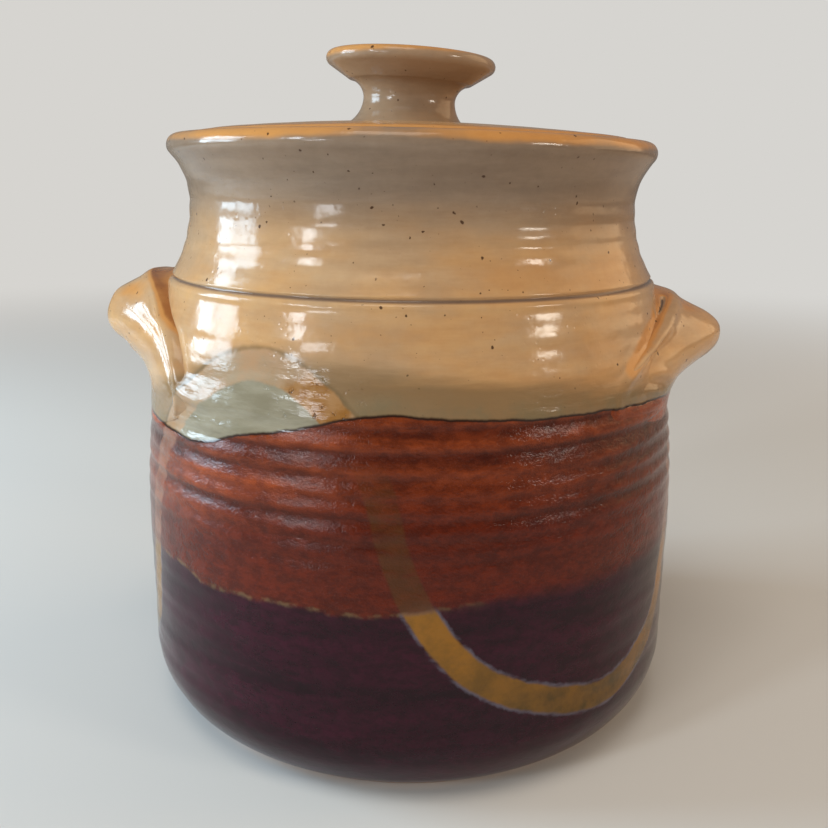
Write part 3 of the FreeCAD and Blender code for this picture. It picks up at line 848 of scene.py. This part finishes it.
def make_group(name, inputs, outputs):
    """An empty node group with named sockets; returns the tree, its inputs and its output node."""
    tree = bpy.data.node_groups.new(name, "ShaderNodeTree")
    for socket, kind in inputs:
        tree.interface.new_socket(socket, in_out="INPUT", socket_type=f"NodeSocket{kind}")
    for socket, kind in outputs:
        tree.interface.new_socket(socket, in_out="OUTPUT", socket_type=f"NodeSocket{kind}")
    return tree, tree.nodes.new("NodeGroupInput").outputs, tree.nodes.new("NodeGroupOutput")


def give(tree, result, **values):
    """Links values to the outputs of a group."""
    for socket, value in values.items():
        tree.links.new(value, result.inputs[socket])


def use(tree, group, inputs=None):
    """Places a group in a tree and returns its outputs."""
    made = tree.nodes.new("ShaderNodeGroup")
    made.node_tree = group
    return fill(tree, made, inputs).outputs


# %% [markdown]
# ## Effects that several glazes share
#
# *Iron specks* are grains of iron in the clay that melt through the glaze as brown dots. *Ragged edge*
# turns a distance into a mask with a wandering border, because glazes creep where they meet; they run
# downwards as they do, so the border is combed that way. *Orange peel* is the faint waviness of a
# melted surface. Each is a node group with named inputs, so that several glazes can use it with values
# of their own, and a change to the group reaches them all.

# %% Groups: specks, ragged edges and surface waviness
def build_specks():
    """Dots of differing size, from the cells of a Voronoi pattern."""
    tree, given, result = make_group("Iron specks", [("Scale", "Float"), ("Share", "Float")],
                                     [("Mask", "Float")])
    place = object_place(tree)
    warp = node(tree, "TexNoise", {"Vector": place, "Scale": 900.0, "Detail": 1.0}).outputs["Color"]
    bent = node(tree, "VectorMath", {0: warp, 1: (0.0009,) * 3, 2: place}, operation="MULTIPLY_ADD")
    cells = node(tree, "TexVoronoi", {"Vector": bent.outputs[0], "Scale": given["Scale"]})
    chance = node(tree, "SeparateColor", {0: cells.outputs["Color"]}).outputs
    picked = maths(tree, "LESS_THAN", chance[0], given["Share"])
    radius = maths(tree, "MULTIPLY_ADD", maths(tree, "POWER", chance[1], 2.0), 0.12, 0.055)
    dot = fade(tree, maths(tree, "DIVIDE", cells.outputs["Distance"], radius), 1.0, 0.55)
    give(tree, result, Mask=maths(tree, "MULTIPLY", dot, picked))
    return tree


def build_ragged():
    """1 where the distance is over zero, with a border that wanders by Wander and is Soft wide."""
    tree, given, result = make_group(
        "Ragged edge", [("Distance", "Float"), ("Wander", "Float"), ("Soft", "Float"), ("Scale", "Float")],
        [("Mask", "Float")])
    stray = cloud(tree, object_place(tree), given["Scale"], detail=4.0, roughness=0.62,
                  stretch=(1, 1, 0.55))
    centred = maths(tree, "SUBTRACT", stray, 0.5)
    moved = maths(tree, "MULTIPLY_ADD", centred, given["Wander"], given["Distance"])
    half = maths(tree, "MULTIPLY", given["Soft"], 0.5)
    give(tree, result, Mask=fade(tree, moved, maths(tree, "MULTIPLY", half, -1.0), half))
    return tree


def build_peel():
    """Height of a melted glaze surface: soft waviness and a few pinholes."""
    tree, given, result = make_group("Orange peel", [("Waviness", "Float"), ("Pits", "Float")],
                                     [("Height", "Float")])
    place = object_place(tree)
    swell = maths(tree, "SUBTRACT", cloud(tree, place, 140.0, detail=2.0), 0.5)
    waves = maths(tree, "MULTIPLY", swell, given["Waviness"])
    cells = node(tree, "TexVoronoi", {"Vector": place, "Scale": 420.0})
    hole = fade(tree, cells.outputs["Distance"], 0.30, 0.10)
    rare = fade(tree, cloud(tree, place, 90.0), 0.50, 0.66)
    depth = maths(tree, "MULTIPLY", maths(tree, "MULTIPLY", hole, rare), given["Pits"])
    give(tree, result, Height=maths(tree, "SUBTRACT", waves, depth))
    return tree


specks, ragged, peel = build_specks(), build_ragged(), build_peel()
print("groups:", [group.name for group in bpy.data.node_groups])

# %% [markdown]
# ## Cream glaze
#
# The cream is oatmeal coloured and glossy, greyer where it is thick and toasted to orange where it
# runs thin, as over an edge. Its grey on the upper neck is painted shade, and its orange on the tops of
# the lip, the lid and the knob is partly painted warm light from above. It covers the neck, the
# shoulder, the lugs and the lid, so it is a group.
# One plain colour would look like paint. A glaze drifts between two warm tones, shows the strokes of the
# wheel, and is dotted with iron, and each of these is one line here.

# %% Group: cream glaze
CREAM = srgb(184, 149, 112)
CREAM_WARM = srgb(196, 149, 99)
# CREAM_GREY is the knob's greyer cream, and on the upper neck a painted shade.
CREAM_GREY = srgb(130, 112, 96)
POOLED = srgb(112, 90, 74)
# The toasted orange is thin glaze, and on the tops of the lip, the lid and the knob also painted warm light.
TOASTED_AND_WARM_LIGHT = srgb(200, 140, 78)
RUST = srgb(140, 80, 38)
SPECK = srgb(66, 38, 22)
CREAM_SPECKS = ((225.0, 0.95, 0.9), (520.0, 0.35, 0.6))   # scale, share of the cells, strength


def build_cream():
    """Colour, gloss and surface height of the cream glaze. Thin is 1 where it breaks over an edge, and on the
    tops of the lip, the lid and the knob it also paints warm light.
    """
    tree, given, result = make_group("Cream glaze", [("Thin", "Float"), ("Grey", "Float")],
                                     [("Color", "Color"), ("Roughness", "Float"), ("Height", "Float")])
    place = object_place(tree)
    drift = cloud(tree, place, 22.0, detail=4.0, roughness=0.6, stretch=(1, 1, 2.2))
    fine = cloud(tree, place, 260.0, detail=3.0, roughness=0.7)
    streaks = cloud(tree, place, 45.0, detail=4.0, roughness=0.65, stretch=(0.5, 0.5, 3.0))
    colour = mix(tree, fade(tree, drift, 0.36, 0.66), CREAM, CREAM_WARM)
    colour = mix(tree, given["Grey"], colour, CREAM_GREY)
    brushed = mix(tree, fade(tree, streaks, 0.35, 0.65), neutral(0.2), neutral(0.8))
    colour = mix(tree, 0.2, colour, brushed, "SOFT_LIGHT")
    colour = mix(tree, fade(tree, given["Thin"], -0.25, -0.9), colour, POOLED)
    # Thin toasts the glaze orange; on the tops of the lip, the lid and the knob this orange is partly painted
    # warm light.
    broken = maths(tree, "MULTIPLY_ADD", maths(tree, "SUBTRACT", drift, 0.5), 1.2, given["Thin"])
    colour = mix(tree, fade(tree, broken, 0.35, 0.85), colour, TOASTED_AND_WARM_LIGHT)
    colour = mix(tree, fade(tree, broken, 0.90, 1.50), colour, RUST)
    colour = mix(tree, 0.18, colour, mix(tree, fine, neutral(0.25), neutral(1.0)), "SOFT_LIGHT")
    for scale, share, strength in CREAM_SPECKS:
        dots = use(tree, specks, {"Scale": scale, "Share": share})["Mask"]
        colour = mix(tree, maths(tree, "MULTIPLY", dots, strength), colour, SPECK)
    gloss = maths(tree, "MULTIPLY_ADD", fine, 0.10, 0.10)
    bumps = use(tree, peel, {"Waviness": 0.6, "Pits": 0.12})["Height"]
    give(tree, result, Color=colour, Roughness=gloss, Height=bumps)
    return tree


cream = build_cream()
print(cream.name, "has", len(cream.nodes), "nodes")

# %% [markdown]
# ## Bare clay and the liner
#
# Glaze is wiped off where the pot stands and where the lid rests, or the kiln would weld them. The clay
# there is a warm buff, dry to the touch. The inside has a plain pale liner glaze. The vertices already
# know which they are, from the outline on the wheel, so no extra material slots are needed.

# %% Group: bare clay
CLAY = srgb(196, 150, 108)
CLAY_DARK = srgb(150, 102, 68)
LINER = srgb(188, 166, 138)


def build_clay():
    """Fired, unglazed stoneware."""
    tree, _, result = make_group("Bare clay", [], [("Color", "Color"), ("Height", "Float")])
    place = object_place(tree)
    grit = cloud(tree, place, 900.0, detail=3.0, roughness=0.7)
    colour = mix(tree, cloud(tree, place, 60.0, detail=3.0), CLAY, CLAY_DARK)
    dots = use(tree, specks, {"Scale": 420.0, "Share": 0.3})["Mask"]
    colour = mix(tree, maths(tree, "MULTIPLY", dots, 0.6), colour, SPECK)
    give(tree, result, Color=colour, Height=maths(tree, "SUBTRACT", grit, 0.5))
    return tree


clay = build_clay()
print(clay.name, "has", len(clay.nodes), "nodes")

# %% [markdown]
# ## Iron red and plum
#
# The two iron glazes are satin: a smooth melt with countless tiny crystals, which scatter a soft sheen.
# Iron glazes are dark where they pool in a ring and bright where they are thin on its crest, so the depth
# of the rings feeds the colour. That dark in the rings is partly painted shade, and the bright on the
# crests partly painted light. Plum is the same glaze laid over itself, so one group makes both.

# %% Group: satin iron glaze
# Pale dots painted where the crystals would glint: a painted sparkle of highlights.
PAINTED_SPARKLE_COLOUR = srgb(200, 150, 128)


def build_satin():
    """Satin iron glaze, deep in colour where it lies thick in a groove and bright where it is thin, which is
    partly painted shade and light.
    """
    tree, given, result = make_group(
        "Satin iron glaze",
        [("Deep", "Color"), ("Bright", "Color"), ("Groove", "Float"), ("Painted sparkle", "Float"), ("Grain", "Float")],
        [("Color", "Color"), ("Roughness", "Float"), ("Height", "Float")])
    place = object_place(tree)
    bands = cloud(tree, place, 16.0, detail=4.0, roughness=0.6, stretch=(0.5, 0.5, 4.0))
    mottle = cloud(tree, place, 240.0, detail=4.0, roughness=0.75, stretch=(0.7, 0.7, 1.3))
    crystals = cloud(tree, place, 1300.0, detail=2.0, roughness=0.7)
    # Deep colour in the ring grooves: partly pooled glaze, partly painted shade.
    thick = maths(tree, "MULTIPLY_ADD", given["Groove"], 0.28, maths(tree, "SUBTRACT", 1.0, bands))
    colour = mix(tree, fade(tree, thick, 0.80, 0.34), given["Deep"], given["Bright"])
    mottled = mix(tree, fade(tree, mottle, 0.35, 0.65), neutral(0.15), neutral(0.85))
    colour = mix(tree, 0.45, colour, mottled, "SOFT_LIGHT")
    # Painted highlight: pale sparkle dots mixed into the colour.
    painted_sparkle = maths(tree, "MULTIPLY", fade(tree, crystals, 0.55, 0.74), given["Painted sparkle"])
    colour = mix(tree, painted_sparkle, colour, PAINTED_SPARKLE_COLOUR)
    gloss = maths(tree, "MULTIPLY_ADD", fade(tree, crystals, 0.40, 0.62), 0.12, 0.08)
    relief_height = maths(tree, "MULTIPLY_ADD", mottle, 1.1, maths(tree, "MULTIPLY", crystals, 0.35))
    bumps = maths(tree, "MULTIPLY", maths(tree, "SUBTRACT", relief_height, 0.7), given["Grain"])
    give(tree, result, Color=colour, Roughness=gloss, Height=bumps)
    return tree


satin = build_satin()
print(satin.name, "has", len(satin.nodes), "nodes")

# %% [markdown]
# ## The layers on the jar and its lugs
#
# The pot was dipped and trailed, so its glazes lie over each other, and a glaze looks different on each
# ground: the trailed stripe is tan on cream, olive on red and ochre on plum. From the top down come the
# cream, the olive band where red was laid over cream, the red, the plum, the stripe, and bare clay at
# the foot. These are their colours.

# %% Colours of the layers
BAND = srgb(124, 99, 68)
BAND_GREEN = srgb(104, 96, 72)
CELADON = srgb(154, 147, 126)
BORDER_LINE = srgb(46, 24, 14)
RED_DEEP = srgb(74, 24, 8)
RED_BRIGHT = srgb(158, 70, 28)
RED_LOW = srgb(90, 26, 5)
PLUM_DEEP = srgb(26, 2, 11)
PLUM_BRIGHT = srgb(52, 7, 26)
FRINGE = srgb(124, 98, 64)
STRIPE_TAN = srgb(186, 146, 110)
# The next colour is the climbing stripe's pale tone, a painted reflection.
STRIPE_PAINTED_REFLECTION = srgb(160, 112, 88)
STRIPE_RUST = srgb(146, 98, 44)
RUST_PALE = srgb(166, 124, 80)
STRIPE_OLIVE = srgb(82, 52, 20)
STRIPE_OCHRE = srgb(146, 98, 32)
STRIPE_DULL = srgb(78, 60, 27)
OUTLINE = srgb(104, 86, 58)
HALO = srgb(92, 84, 96)
STRIPE_HALF = 4.7         # half width of the stripe, in millimetres
# The grey on the upper neck is painted shade, where the neck faces down away from the top light.
NECK_SHADE_RISE = (0.170, 0.196)    # heights in metres between which the neck turns grey
NECK_SHADE_SHARE = 0.9

# %% [markdown]
# ## Sums with masks
#
# Where one layer ends and the next begins is a question of masks. Four helpers keep such sums readable:
# a ragged edge along a distance, a value turned round, the overlap of two masks, and a blend of two
# numbers. The same nodes could be placed by hand in the shader editor, but a recipe in words can be read
# from top to bottom. What every layer needs is gathered once: the numbers kept on the vertices, two
# patterns, and the core of the stripe.

# %% Helpers for masks
def edge(tree, distance, wander, soft, scale=120.0):
    """A ragged mask that is 1 where the distance is over zero."""
    inputs = {"Distance": distance, "Wander": wander, "Soft": soft, "Scale": scale}
    return use(tree, ragged, inputs)["Mask"]


def less(tree, value, start):
    """The start less the value."""
    return maths(tree, "MULTIPLY_ADD", value, -1.0, start)


def both(tree, first, second):
    """Where two masks overlap, or one mask at part of its strength."""
    return maths(tree, "MULTIPLY", first, second)


def between(tree, share, first, second):
    """Blends two numbers."""
    return node(tree, "Mix", {0: share, 2: first, 3: second}, data_type="FLOAT").outputs[0]


def gather(tree):
    """What every layer reads, under plain names."""
    kept_names = ("above_cream", "above_plum", "below_band_top", "stripe", "climb", "rust", "fringe",
                  "groove", "thin", "bare", "liner")
    at = SimpleNamespace(**{name: value_of(tree, name) for name in kept_names})
    at.place = object_place(tree)
    at.height = node(tree, "SeparateXYZ", {0: at.place}).outputs["Z"]
    at.off_stripe = maths(tree, "ABSOLUTE", at.stripe)
    at.mottled = fade(tree, cloud(tree, at.place, 70.0, detail=5.0, roughness=0.65), 0.35, 0.65)
    at.runs = cloud(tree, at.place, 110.0, detail=4.0, roughness=0.6, stretch=(0.5, 0.5, 2.0))
    at.core = edge(tree, less(tree, at.off_stripe, STRIPE_HALF), 2.2, 1.2, 150.0)
    return at


# %% [markdown]
# ## Band and arches
#
# Above the red, a little of it crept up under the cream and turned it olive. The band has a firm lower
# edge, where the red begins, and a streaked upper one. Inside the stripe's arches the ground is greener.
# Each layer is one function that takes the colour so far and returns the colour with the layer on it.

# %% Layer: the olive band
def lay_band(tree, at, colour):
    """Thin red under the cream, and the greener ground inside the arches."""
    streaked = cloud(tree, at.place, 60.0, detail=4.0, roughness=0.6, stretch=(0.35, 0.35, 2.5))
    at.band = fade(tree, maths(tree, "MULTIPLY_ADD", streaked, 9.0, at.below_band_top), 1.5, 8.0)
    khaki = mix(tree, at.mottled, BAND, mix(tree, fade(tree, at.above_cream, 9.0, 2.0), BAND, BAND_GREEN))
    colour = mix(tree, both(tree, at.band, 0.8), colour, khaki)
    in_arch = both(tree, edge(tree, less(tree, at.stripe, -2.0), 3.0, 2.5, 90.0), at.band)
    clouded = mix(tree, fade(tree, at.runs, 0.35, 0.70), CELADON, mix(tree, 0.5, CELADON, BAND_GREEN))
    return mix(tree, both(tree, in_arch, 0.9), colour, clouded)


# %% [markdown]
# ## The stripe on the cream
#
# Trailed over the cream, the stripe is tan inside a thin dark outline. At the right foot of each arch it
# was laid on thick and crawled as it dried, so it is rusty and rough there, with dark pits.

# %% Layer: the stripe above the red
def lay_stripe_on_cream(tree, at, colour):
    """The tan stripe, its outline, and its rusty right foot."""
    wide = edge(tree, less(tree, at.off_stripe, STRIPE_HALF + 1.2), 1.8, 1.6, 140.0)
    outline = both(tree, wide, edge(tree, at.stripe, 1.0, 2.0))
    colour = mix(tree, both(tree, outline, 0.55), colour, OUTLINE)
    rusty = edge(tree, maths(tree, "MULTIPLY_ADD", at.rust, 3.0, -0.8), 2.6, 1.2, 130.0)
    crumbs = cloud(tree, at.place, 380.0, detail=4.0, roughness=0.7)
    at.pits = both(tree, fade(tree, crumbs, 0.40, 0.30), rusty)
    patches = fade(tree, cloud(tree, at.place, 190.0, detail=3.0), 0.35, 0.65)
    tan = mix(tree, both(tree, at.mottled, 0.5), STRIPE_TAN, CELADON)
    tan = mix(tree, rusty, tan, mix(tree, patches, STRIPE_RUST, RUST_PALE))
    tan = mix(tree, both(tree, at.pits, 0.85), tan, SPECK)
    return mix(tree, both(tree, at.core, between(tree, rusty, 0.75, 1.0)), colour, tan)


# %% [markdown]
# ## Red and plum
#
# The red meets the cream in a thin dark line. Where it meets the plum, the border is crisp on one side of
# the pot, with a pale fringe, and soft on the other, so two edges are made and the kept *fringe* value
# chooses between them. The red grows darker downwards.

# %% Layer: iron red and plum
def lay_red_and_plum(tree, at, colour):
    """Iron red and plum, with the dark line and the fringe at their upper borders."""
    red_bright = mix(tree, fade(tree, at.above_cream, -34.0, -2.0), RED_LOW, RED_BRIGHT)
    # The pale dots on the red and the plum are painted sparkle of highlights.
    at.red = use(tree, satin, {"Deep": RED_DEEP, "Bright": red_bright, "Groove": at.groove,
                               "Painted sparkle": 0.03, "Grain": 1.0})
    at.plum = use(tree, satin, {"Deep": PLUM_DEEP, "Bright": PLUM_BRIGHT, "Groove": at.groove,
                                "Painted sparkle": 0.01, "Grain": 0.3})
    at.in_red = edge(tree, less(tree, at.above_cream, 0.0), 1.6, 0.5, 110.0)
    line = edge(tree, less(tree, at.above_cream, 0.8), 1.6, 0.9, 110.0)
    colour = mix(tree, at.in_red, mix(tree, line, colour, BORDER_LINE), at.red["Color"])
    soft = edge(tree, less(tree, at.above_plum, 1.0), 5.0, 9.0, 60.0)
    crisp = edge(tree, less(tree, at.above_plum, 0.0), 4.0, 2.4, 110.0)
    at.in_plum = between(tree, at.fringe, soft, crisp)
    fringe = both(tree, edge(tree, less(tree, at.above_plum, 0.6), 4.0, 1.6, 110.0), at.fringe)
    broken = fade(tree, cloud(tree, at.place, 200.0, detail=4.0), 0.42, 0.62)
    colour = mix(tree, both(tree, fringe, broken), colour, FRINGE)
    return mix(tree, at.in_plum, colour, at.plum["Color"])


# %% [markdown]
# ## The stripe below the cream
#
# On the red the stripe is thick where it climbs, and a thin olive film where it comes down; its pale colour
# where it climbs is a painted reflection. On the plum it is ochre in a combed blue-grey halo, because the
# two glazes ran into each other there.

# %% Layer: the stripe on the red and the plum
def lay_stripe_below(tree, at, colour):
    """The stripe on the red, and the ochre stripe with its halo on the plum."""
    upright = maths(tree, "MAXIMUM", fade(tree, at.above_plum, 50.0, 30.0), at.climb)
    on_red = both(tree, both(tree, at.in_red, at.core), upright)
    on_red = both(tree, on_red, fade(tree, at.runs, 0.20, 0.60))
    # Painted reflection: the stripe turns pale where it climbs.
    film_and_reflection = mix(tree, at.climb, STRIPE_OLIVE, STRIPE_PAINTED_REFLECTION)
    colour = mix(tree, both(tree, on_red, 0.6), colour, film_and_reflection)
    halo = edge(tree, less(tree, at.off_stripe, STRIPE_HALF + 0.9), 2.4, 1.2, 300.0)
    combed = both(tree, both(tree, halo, at.in_plum), fade(tree, at.runs, 0.30, 0.60))
    colour = mix(tree, combed, colour, HALO)
    nearer = both(tree, fade(tree, at.above_plum, -44.0, -8.0), 0.65)
    bright = maths(tree, "MULTIPLY_ADD", at.mottled, 0.5, nearer)
    ochre = mix(tree, bright, STRIPE_DULL, STRIPE_OCHRE)
    return mix(tree, both(tree, at.core, at.in_plum), colour, ochre)


# %% [markdown]
# ## The finished glazes
#
# Four layers over the cream make the glaze of the jar and the lugs. The lid and the knob carry the cream
# alone. All of them end at one Principled shader each. Its specular level is low, because the dark
# glazes would look dusty under a pale room, and its colour, roughness and normal come from the layers.

# %% Materials: the pot's glaze and the lid's
GLAZE_SPECULAR = 0.27
DRY = 0.85                # roughness of bare clay
BUMP_DEPTH = 0.00035


def shader(name):
    """A new material with its Principled shader; returns the material, its tree and the shader."""
    material = bpy.data.materials.new(name)
    material.use_nodes = True
    principled = material.node_tree.nodes["Principled BSDF"]
    principled.inputs["Specular IOR Level"].default_value = GLAZE_SPECULAR
    return material, material.node_tree, principled


def connect(tree, principled, colour, gloss, bumps):
    """Feeds colour, roughness and, through a Bump node, a height to the shader."""
    bump = node(tree, "Bump", {"Height": bumps, "Distance": BUMP_DEPTH, "Strength": 1.0})
    fill(tree, principled, {"Base Color": colour, "Roughness": gloss, "Normal": bump.outputs["Normal"]})


def make_pot_glaze(name):
    """The layered glaze of the jar and the lugs."""
    material, tree, principled = shader(name)
    at = gather(tree)
    # Painted shade: the upper neck turns grey where it faces down.
    grey = both(tree, fade(tree, at.height, *NECK_SHADE_RISE), NECK_SHADE_SHARE)
    base = use(tree, cream, {"Thin": at.thin, "Grey": grey})
    colour = base["Color"]
    for lay in (lay_band, lay_stripe_on_cream, lay_red_and_plum, lay_stripe_below):
        colour = lay(tree, at, colour)
    under_foot = edge(tree, less(tree, maths(tree, "MULTIPLY", at.height, 1 / MM), 2.0), 1.2, 0.5)
    wiped, dry = maths(tree, "MAXIMUM", under_foot, at.bare), use(tree, clay)
    colour = mix(tree, wiped, mix(tree, at.liner, colour, LINER), dry["Color"])
    gloss = between(tree, at.in_red, base["Roughness"], at.red["Roughness"])
    gloss = between(tree, wiped, gloss, DRY)
    lumps = both(tree, both(tree, at.band, 0.9), maths(tree, "SUBTRACT", at.runs, 0.5))
    bumps = maths(tree, "SUBTRACT", maths(tree, "ADD", base["Height"], lumps), both(tree, at.pits, 0.5))
    satin_bumps = between(tree, at.in_plum, at.red["Height"], at.plum["Height"])
    bumps = between(tree, wiped, between(tree, at.in_red, bumps, satin_bumps), dry["Height"])
    connect(tree, principled, colour, gloss, bumps)
    print(f"{name}: {len(tree.nodes)} nodes")
    return material


def make_lid_glaze(name, grey):
    """Cream glaze for the lid and the knob."""
    material, tree, principled = shader(name)
    base = use(tree, cream, {"Thin": value_of(tree, "thin"), "Grey": grey})
    wiped, dry = value_of(tree, "bare"), use(tree, clay)
    colour = mix(tree, wiped, base["Color"], dry["Color"])
    gloss = between(tree, wiped, base["Roughness"], DRY)
    bumps = between(tree, wiped, base["Height"], dry["Height"])
    connect(tree, principled, colour, gloss, bumps)
    return material


# %% [markdown]
# ## Seating the pieces
#
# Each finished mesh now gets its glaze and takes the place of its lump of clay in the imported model. The
# jar and the lugs ride on the body *jar*. The lid and its knob ride on *lid*, so they lift together. The
# two lugs share one material, because they were glazed in the same dip.

# %% Seat the pieces in the frame
finish_piece("pot", jar_mesh, make_pot_glaze("jar_glaze"), "jar", ["jar"])
lug_glaze = make_pot_glaze("lug_glaze")
for hand, mesh in lug_meshes.items():
    finish_piece(f"pulled_lug_{hand}", mesh, lug_glaze, "jar", [f"lug_{hand}"])
finish_piece("thrown_lid", lid_mesh, make_lid_glaze("lid_glaze", 0.0), "lid", ["lid"])
finish_piece("thrown_knob", knob_mesh, make_lid_glaze("knob_glaze", 0.65), "lid", ["lid_knob"])

# %% [markdown]
# ## The floor
#
# The pot stands on a plain pale floor, as on a sheet of paper in a studio. Far from the pot, the camera
# sees the floor as the plain colour of the backdrop, so no horizon shows. A curved sweep of paper would
# do the same, but its bend would show as a soft line behind the pot.

# %% Floor
BACKDROP = srgb(214, 212, 208)
FLOOR_RADIUS = 6.0
FLOOR_FADE = (0.35, 1.5)      # metres from the pot between which the floor turns into the backdrop

floor_shell = bmesh.new()
bmesh.ops.create_circle(floor_shell, cap_ends=True, radius=FLOOR_RADIUS, segments=96)
floor = bpy.data.objects.new("floor", mesh_from(floor_shell, "floor"))
floor_material, floor_tree, floor_shader = shader("floor_paper")
fill(floor_tree, floor_shader, {"Base Color": BACKDROP, "Roughness": 0.9})
from_pot = node(floor_tree, "VectorMath", {0: object_place(floor_tree)}, operation="LENGTH")
far = fade(floor_tree, from_pot.outputs["Value"], *FLOOR_FADE)
seen = maths(floor_tree, "MULTIPLY", far, node(floor_tree, "LightPath").outputs["Is Camera Ray"])
haze = node(floor_tree, "Emission", {"Color": BACKDROP, "Strength": 1.0})
faded = node(floor_tree, "MixShader", {0: seen, 1: floor_shader.outputs[0], 2: haze.outputs[0]})
fill(floor_tree, floor_tree.nodes["Material Output"], {"Surface": faded.outputs[0]})
floor.data.materials.append(floor_material)
bpy.context.scene.collection.objects.link(floor)
print("floor:", FLOOR_RADIUS, "m radius")

# %% [markdown]
# ## The light
#
# A soft window on the left lights the pot, in four panes, so that the gloss shows where the window is.
# Two more windows at the front left, two lamps on the right and a wide one overhead fill in. The side
# lamp is warm and large, as a lit room is. Area lamps are used because a glaze mirrors their shape, which
# a sun or a point would not give. Together they add up to about one, so that a colour renders about as
# it is written.

# %% Lights
LAMP_AIM = Vector((0, 0, 0.12))     # the middle of the pot


def lamp(name, round_by, up, distance, width, height, power, colour):
    """A soft rectangular lamp that faces the pot from an azimuth and an elevation."""
    turn, tilt = math.radians(round_by), math.radians(up)
    away = Vector((math.sin(turn) * math.cos(tilt), -math.cos(turn) * math.cos(tilt), math.sin(tilt)))
    light = bpy.data.lights.new(name, "AREA")
    light.shape = "RECTANGLE"
    light.size, light.size_y = width, height
    light.energy = power
    light.color = colour
    holder = bpy.data.objects.new(name, light)
    holder.location = LAMP_AIM + away * distance
    holder.rotation_euler = away.to_track_quat("Z", "Y").to_euler()
    bpy.context.scene.collection.objects.link(holder)


PANE = 0.24
DAYLIGHT = (0.64, 0.84, 1.0)
for column in (-1, 1):
    for row in (-1, 1):
        lamp(f"window_pane_{column}_{row}", -93 + 6.6 * column, 16 + 7 * row, 1.2, PANE, PANE, 3.4,
             DAYLIGHT)
lamp("second_window", -51, 19, 1.5, 0.18, 0.30, 5.4, (0.84, 0.93, 1.0))
lamp("low_window", -40, 7, 1.5, 0.26, 0.16, 2.6, (0.92, 0.96, 1.0))
lamp("right_lamp", 60, 17, 1.6, 0.30, 0.17, 4.6, (1.0, 0.92, 0.80))
lamp("side_lamp", 104, 24, 1.5, 1.10, 1.10, 7.0, (1.0, 0.67, 0.37))
lamp("ceiling", -18, 64, 1.5, 0.70, 0.70, 7.4, (1.0, 0.93, 0.83))

# %% [markdown]
# ## The room
#
# The room around gives a little light from everywhere, and the camera sees it as the backdrop. Light
# Path's *Is Camera Ray* tells the two apart, so the backdrop can be pale without washing out the pot.

# %% World
AMBIENT = 0.20
ROOM_LIGHT = (1.0, 0.985, 0.965, 1)
world = bpy.data.worlds.new("room")
world.use_nodes = True
bpy.context.scene.world = world
room = world.node_tree
seen = node(room, "LightPath").outputs["Is Camera Ray"]
fill(room, room.nodes["Background"], {"Color": mix(room, seen, ROOM_LIGHT, BACKDROP),
                                      "Strength": maths(room, "MULTIPLY_ADD", seen, 1 - AMBIENT, AMBIENT)})
print("lamps:", len(bpy.data.lights), "ambient", AMBIENT)

# %% [markdown]
# ## The camera
#
# The camera stands close, a little above the lip, as a person does who looks at a pot on a kitchen
# table. Its numbers are a distance, a height and three small turns. A close camera matters: it makes the
# lip an open curve and the belly wider than the foot, which a long lens from far away would flatten.

# %% Camera
CAMERA_DISTANCE = 356.32 * MM     # in front of the pot's axis
CAMERA_HEIGHT = 197.78 * MM
CAMERA_PITCH = math.radians(14.461)   # looking down
CAMERA_YAW = math.radians(0.2651)     # to the right
CAMERA_ROLL = math.radians(0.6222)
FOCAL_SHARE = 1.118087                # focal length as a share of the picture's width

view = bpy.data.cameras.new("camera")
view.sensor_width = 36
view.lens = FOCAL_SHARE * view.sensor_width
view.clip_start = 0.01
camera = bpy.data.objects.new("camera", view)
ahead = Vector((math.cos(CAMERA_PITCH) * math.sin(CAMERA_YAW),
                math.cos(CAMERA_PITCH) * math.cos(CAMERA_YAW), -math.sin(CAMERA_PITCH)))
level = Vector((math.cos(CAMERA_YAW), -math.sin(CAMERA_YAW), 0))
above = level.cross(ahead)
across = level * math.cos(CAMERA_ROLL) + above * math.sin(CAMERA_ROLL)
above = above * math.cos(CAMERA_ROLL) - level * math.sin(CAMERA_ROLL)
turned_to = Matrix((across, above, -ahead)).transposed().to_4x4()
camera.matrix_world = Matrix.Translation((0, -CAMERA_DISTANCE, CAMERA_HEIGHT)) @ turned_to
bpy.context.scene.collection.objects.link(camera)
bpy.context.scene.camera = camera
bpy.context.scene.view_settings.view_transform = "Standard"
print(f"lens {view.lens:.2f} mm")
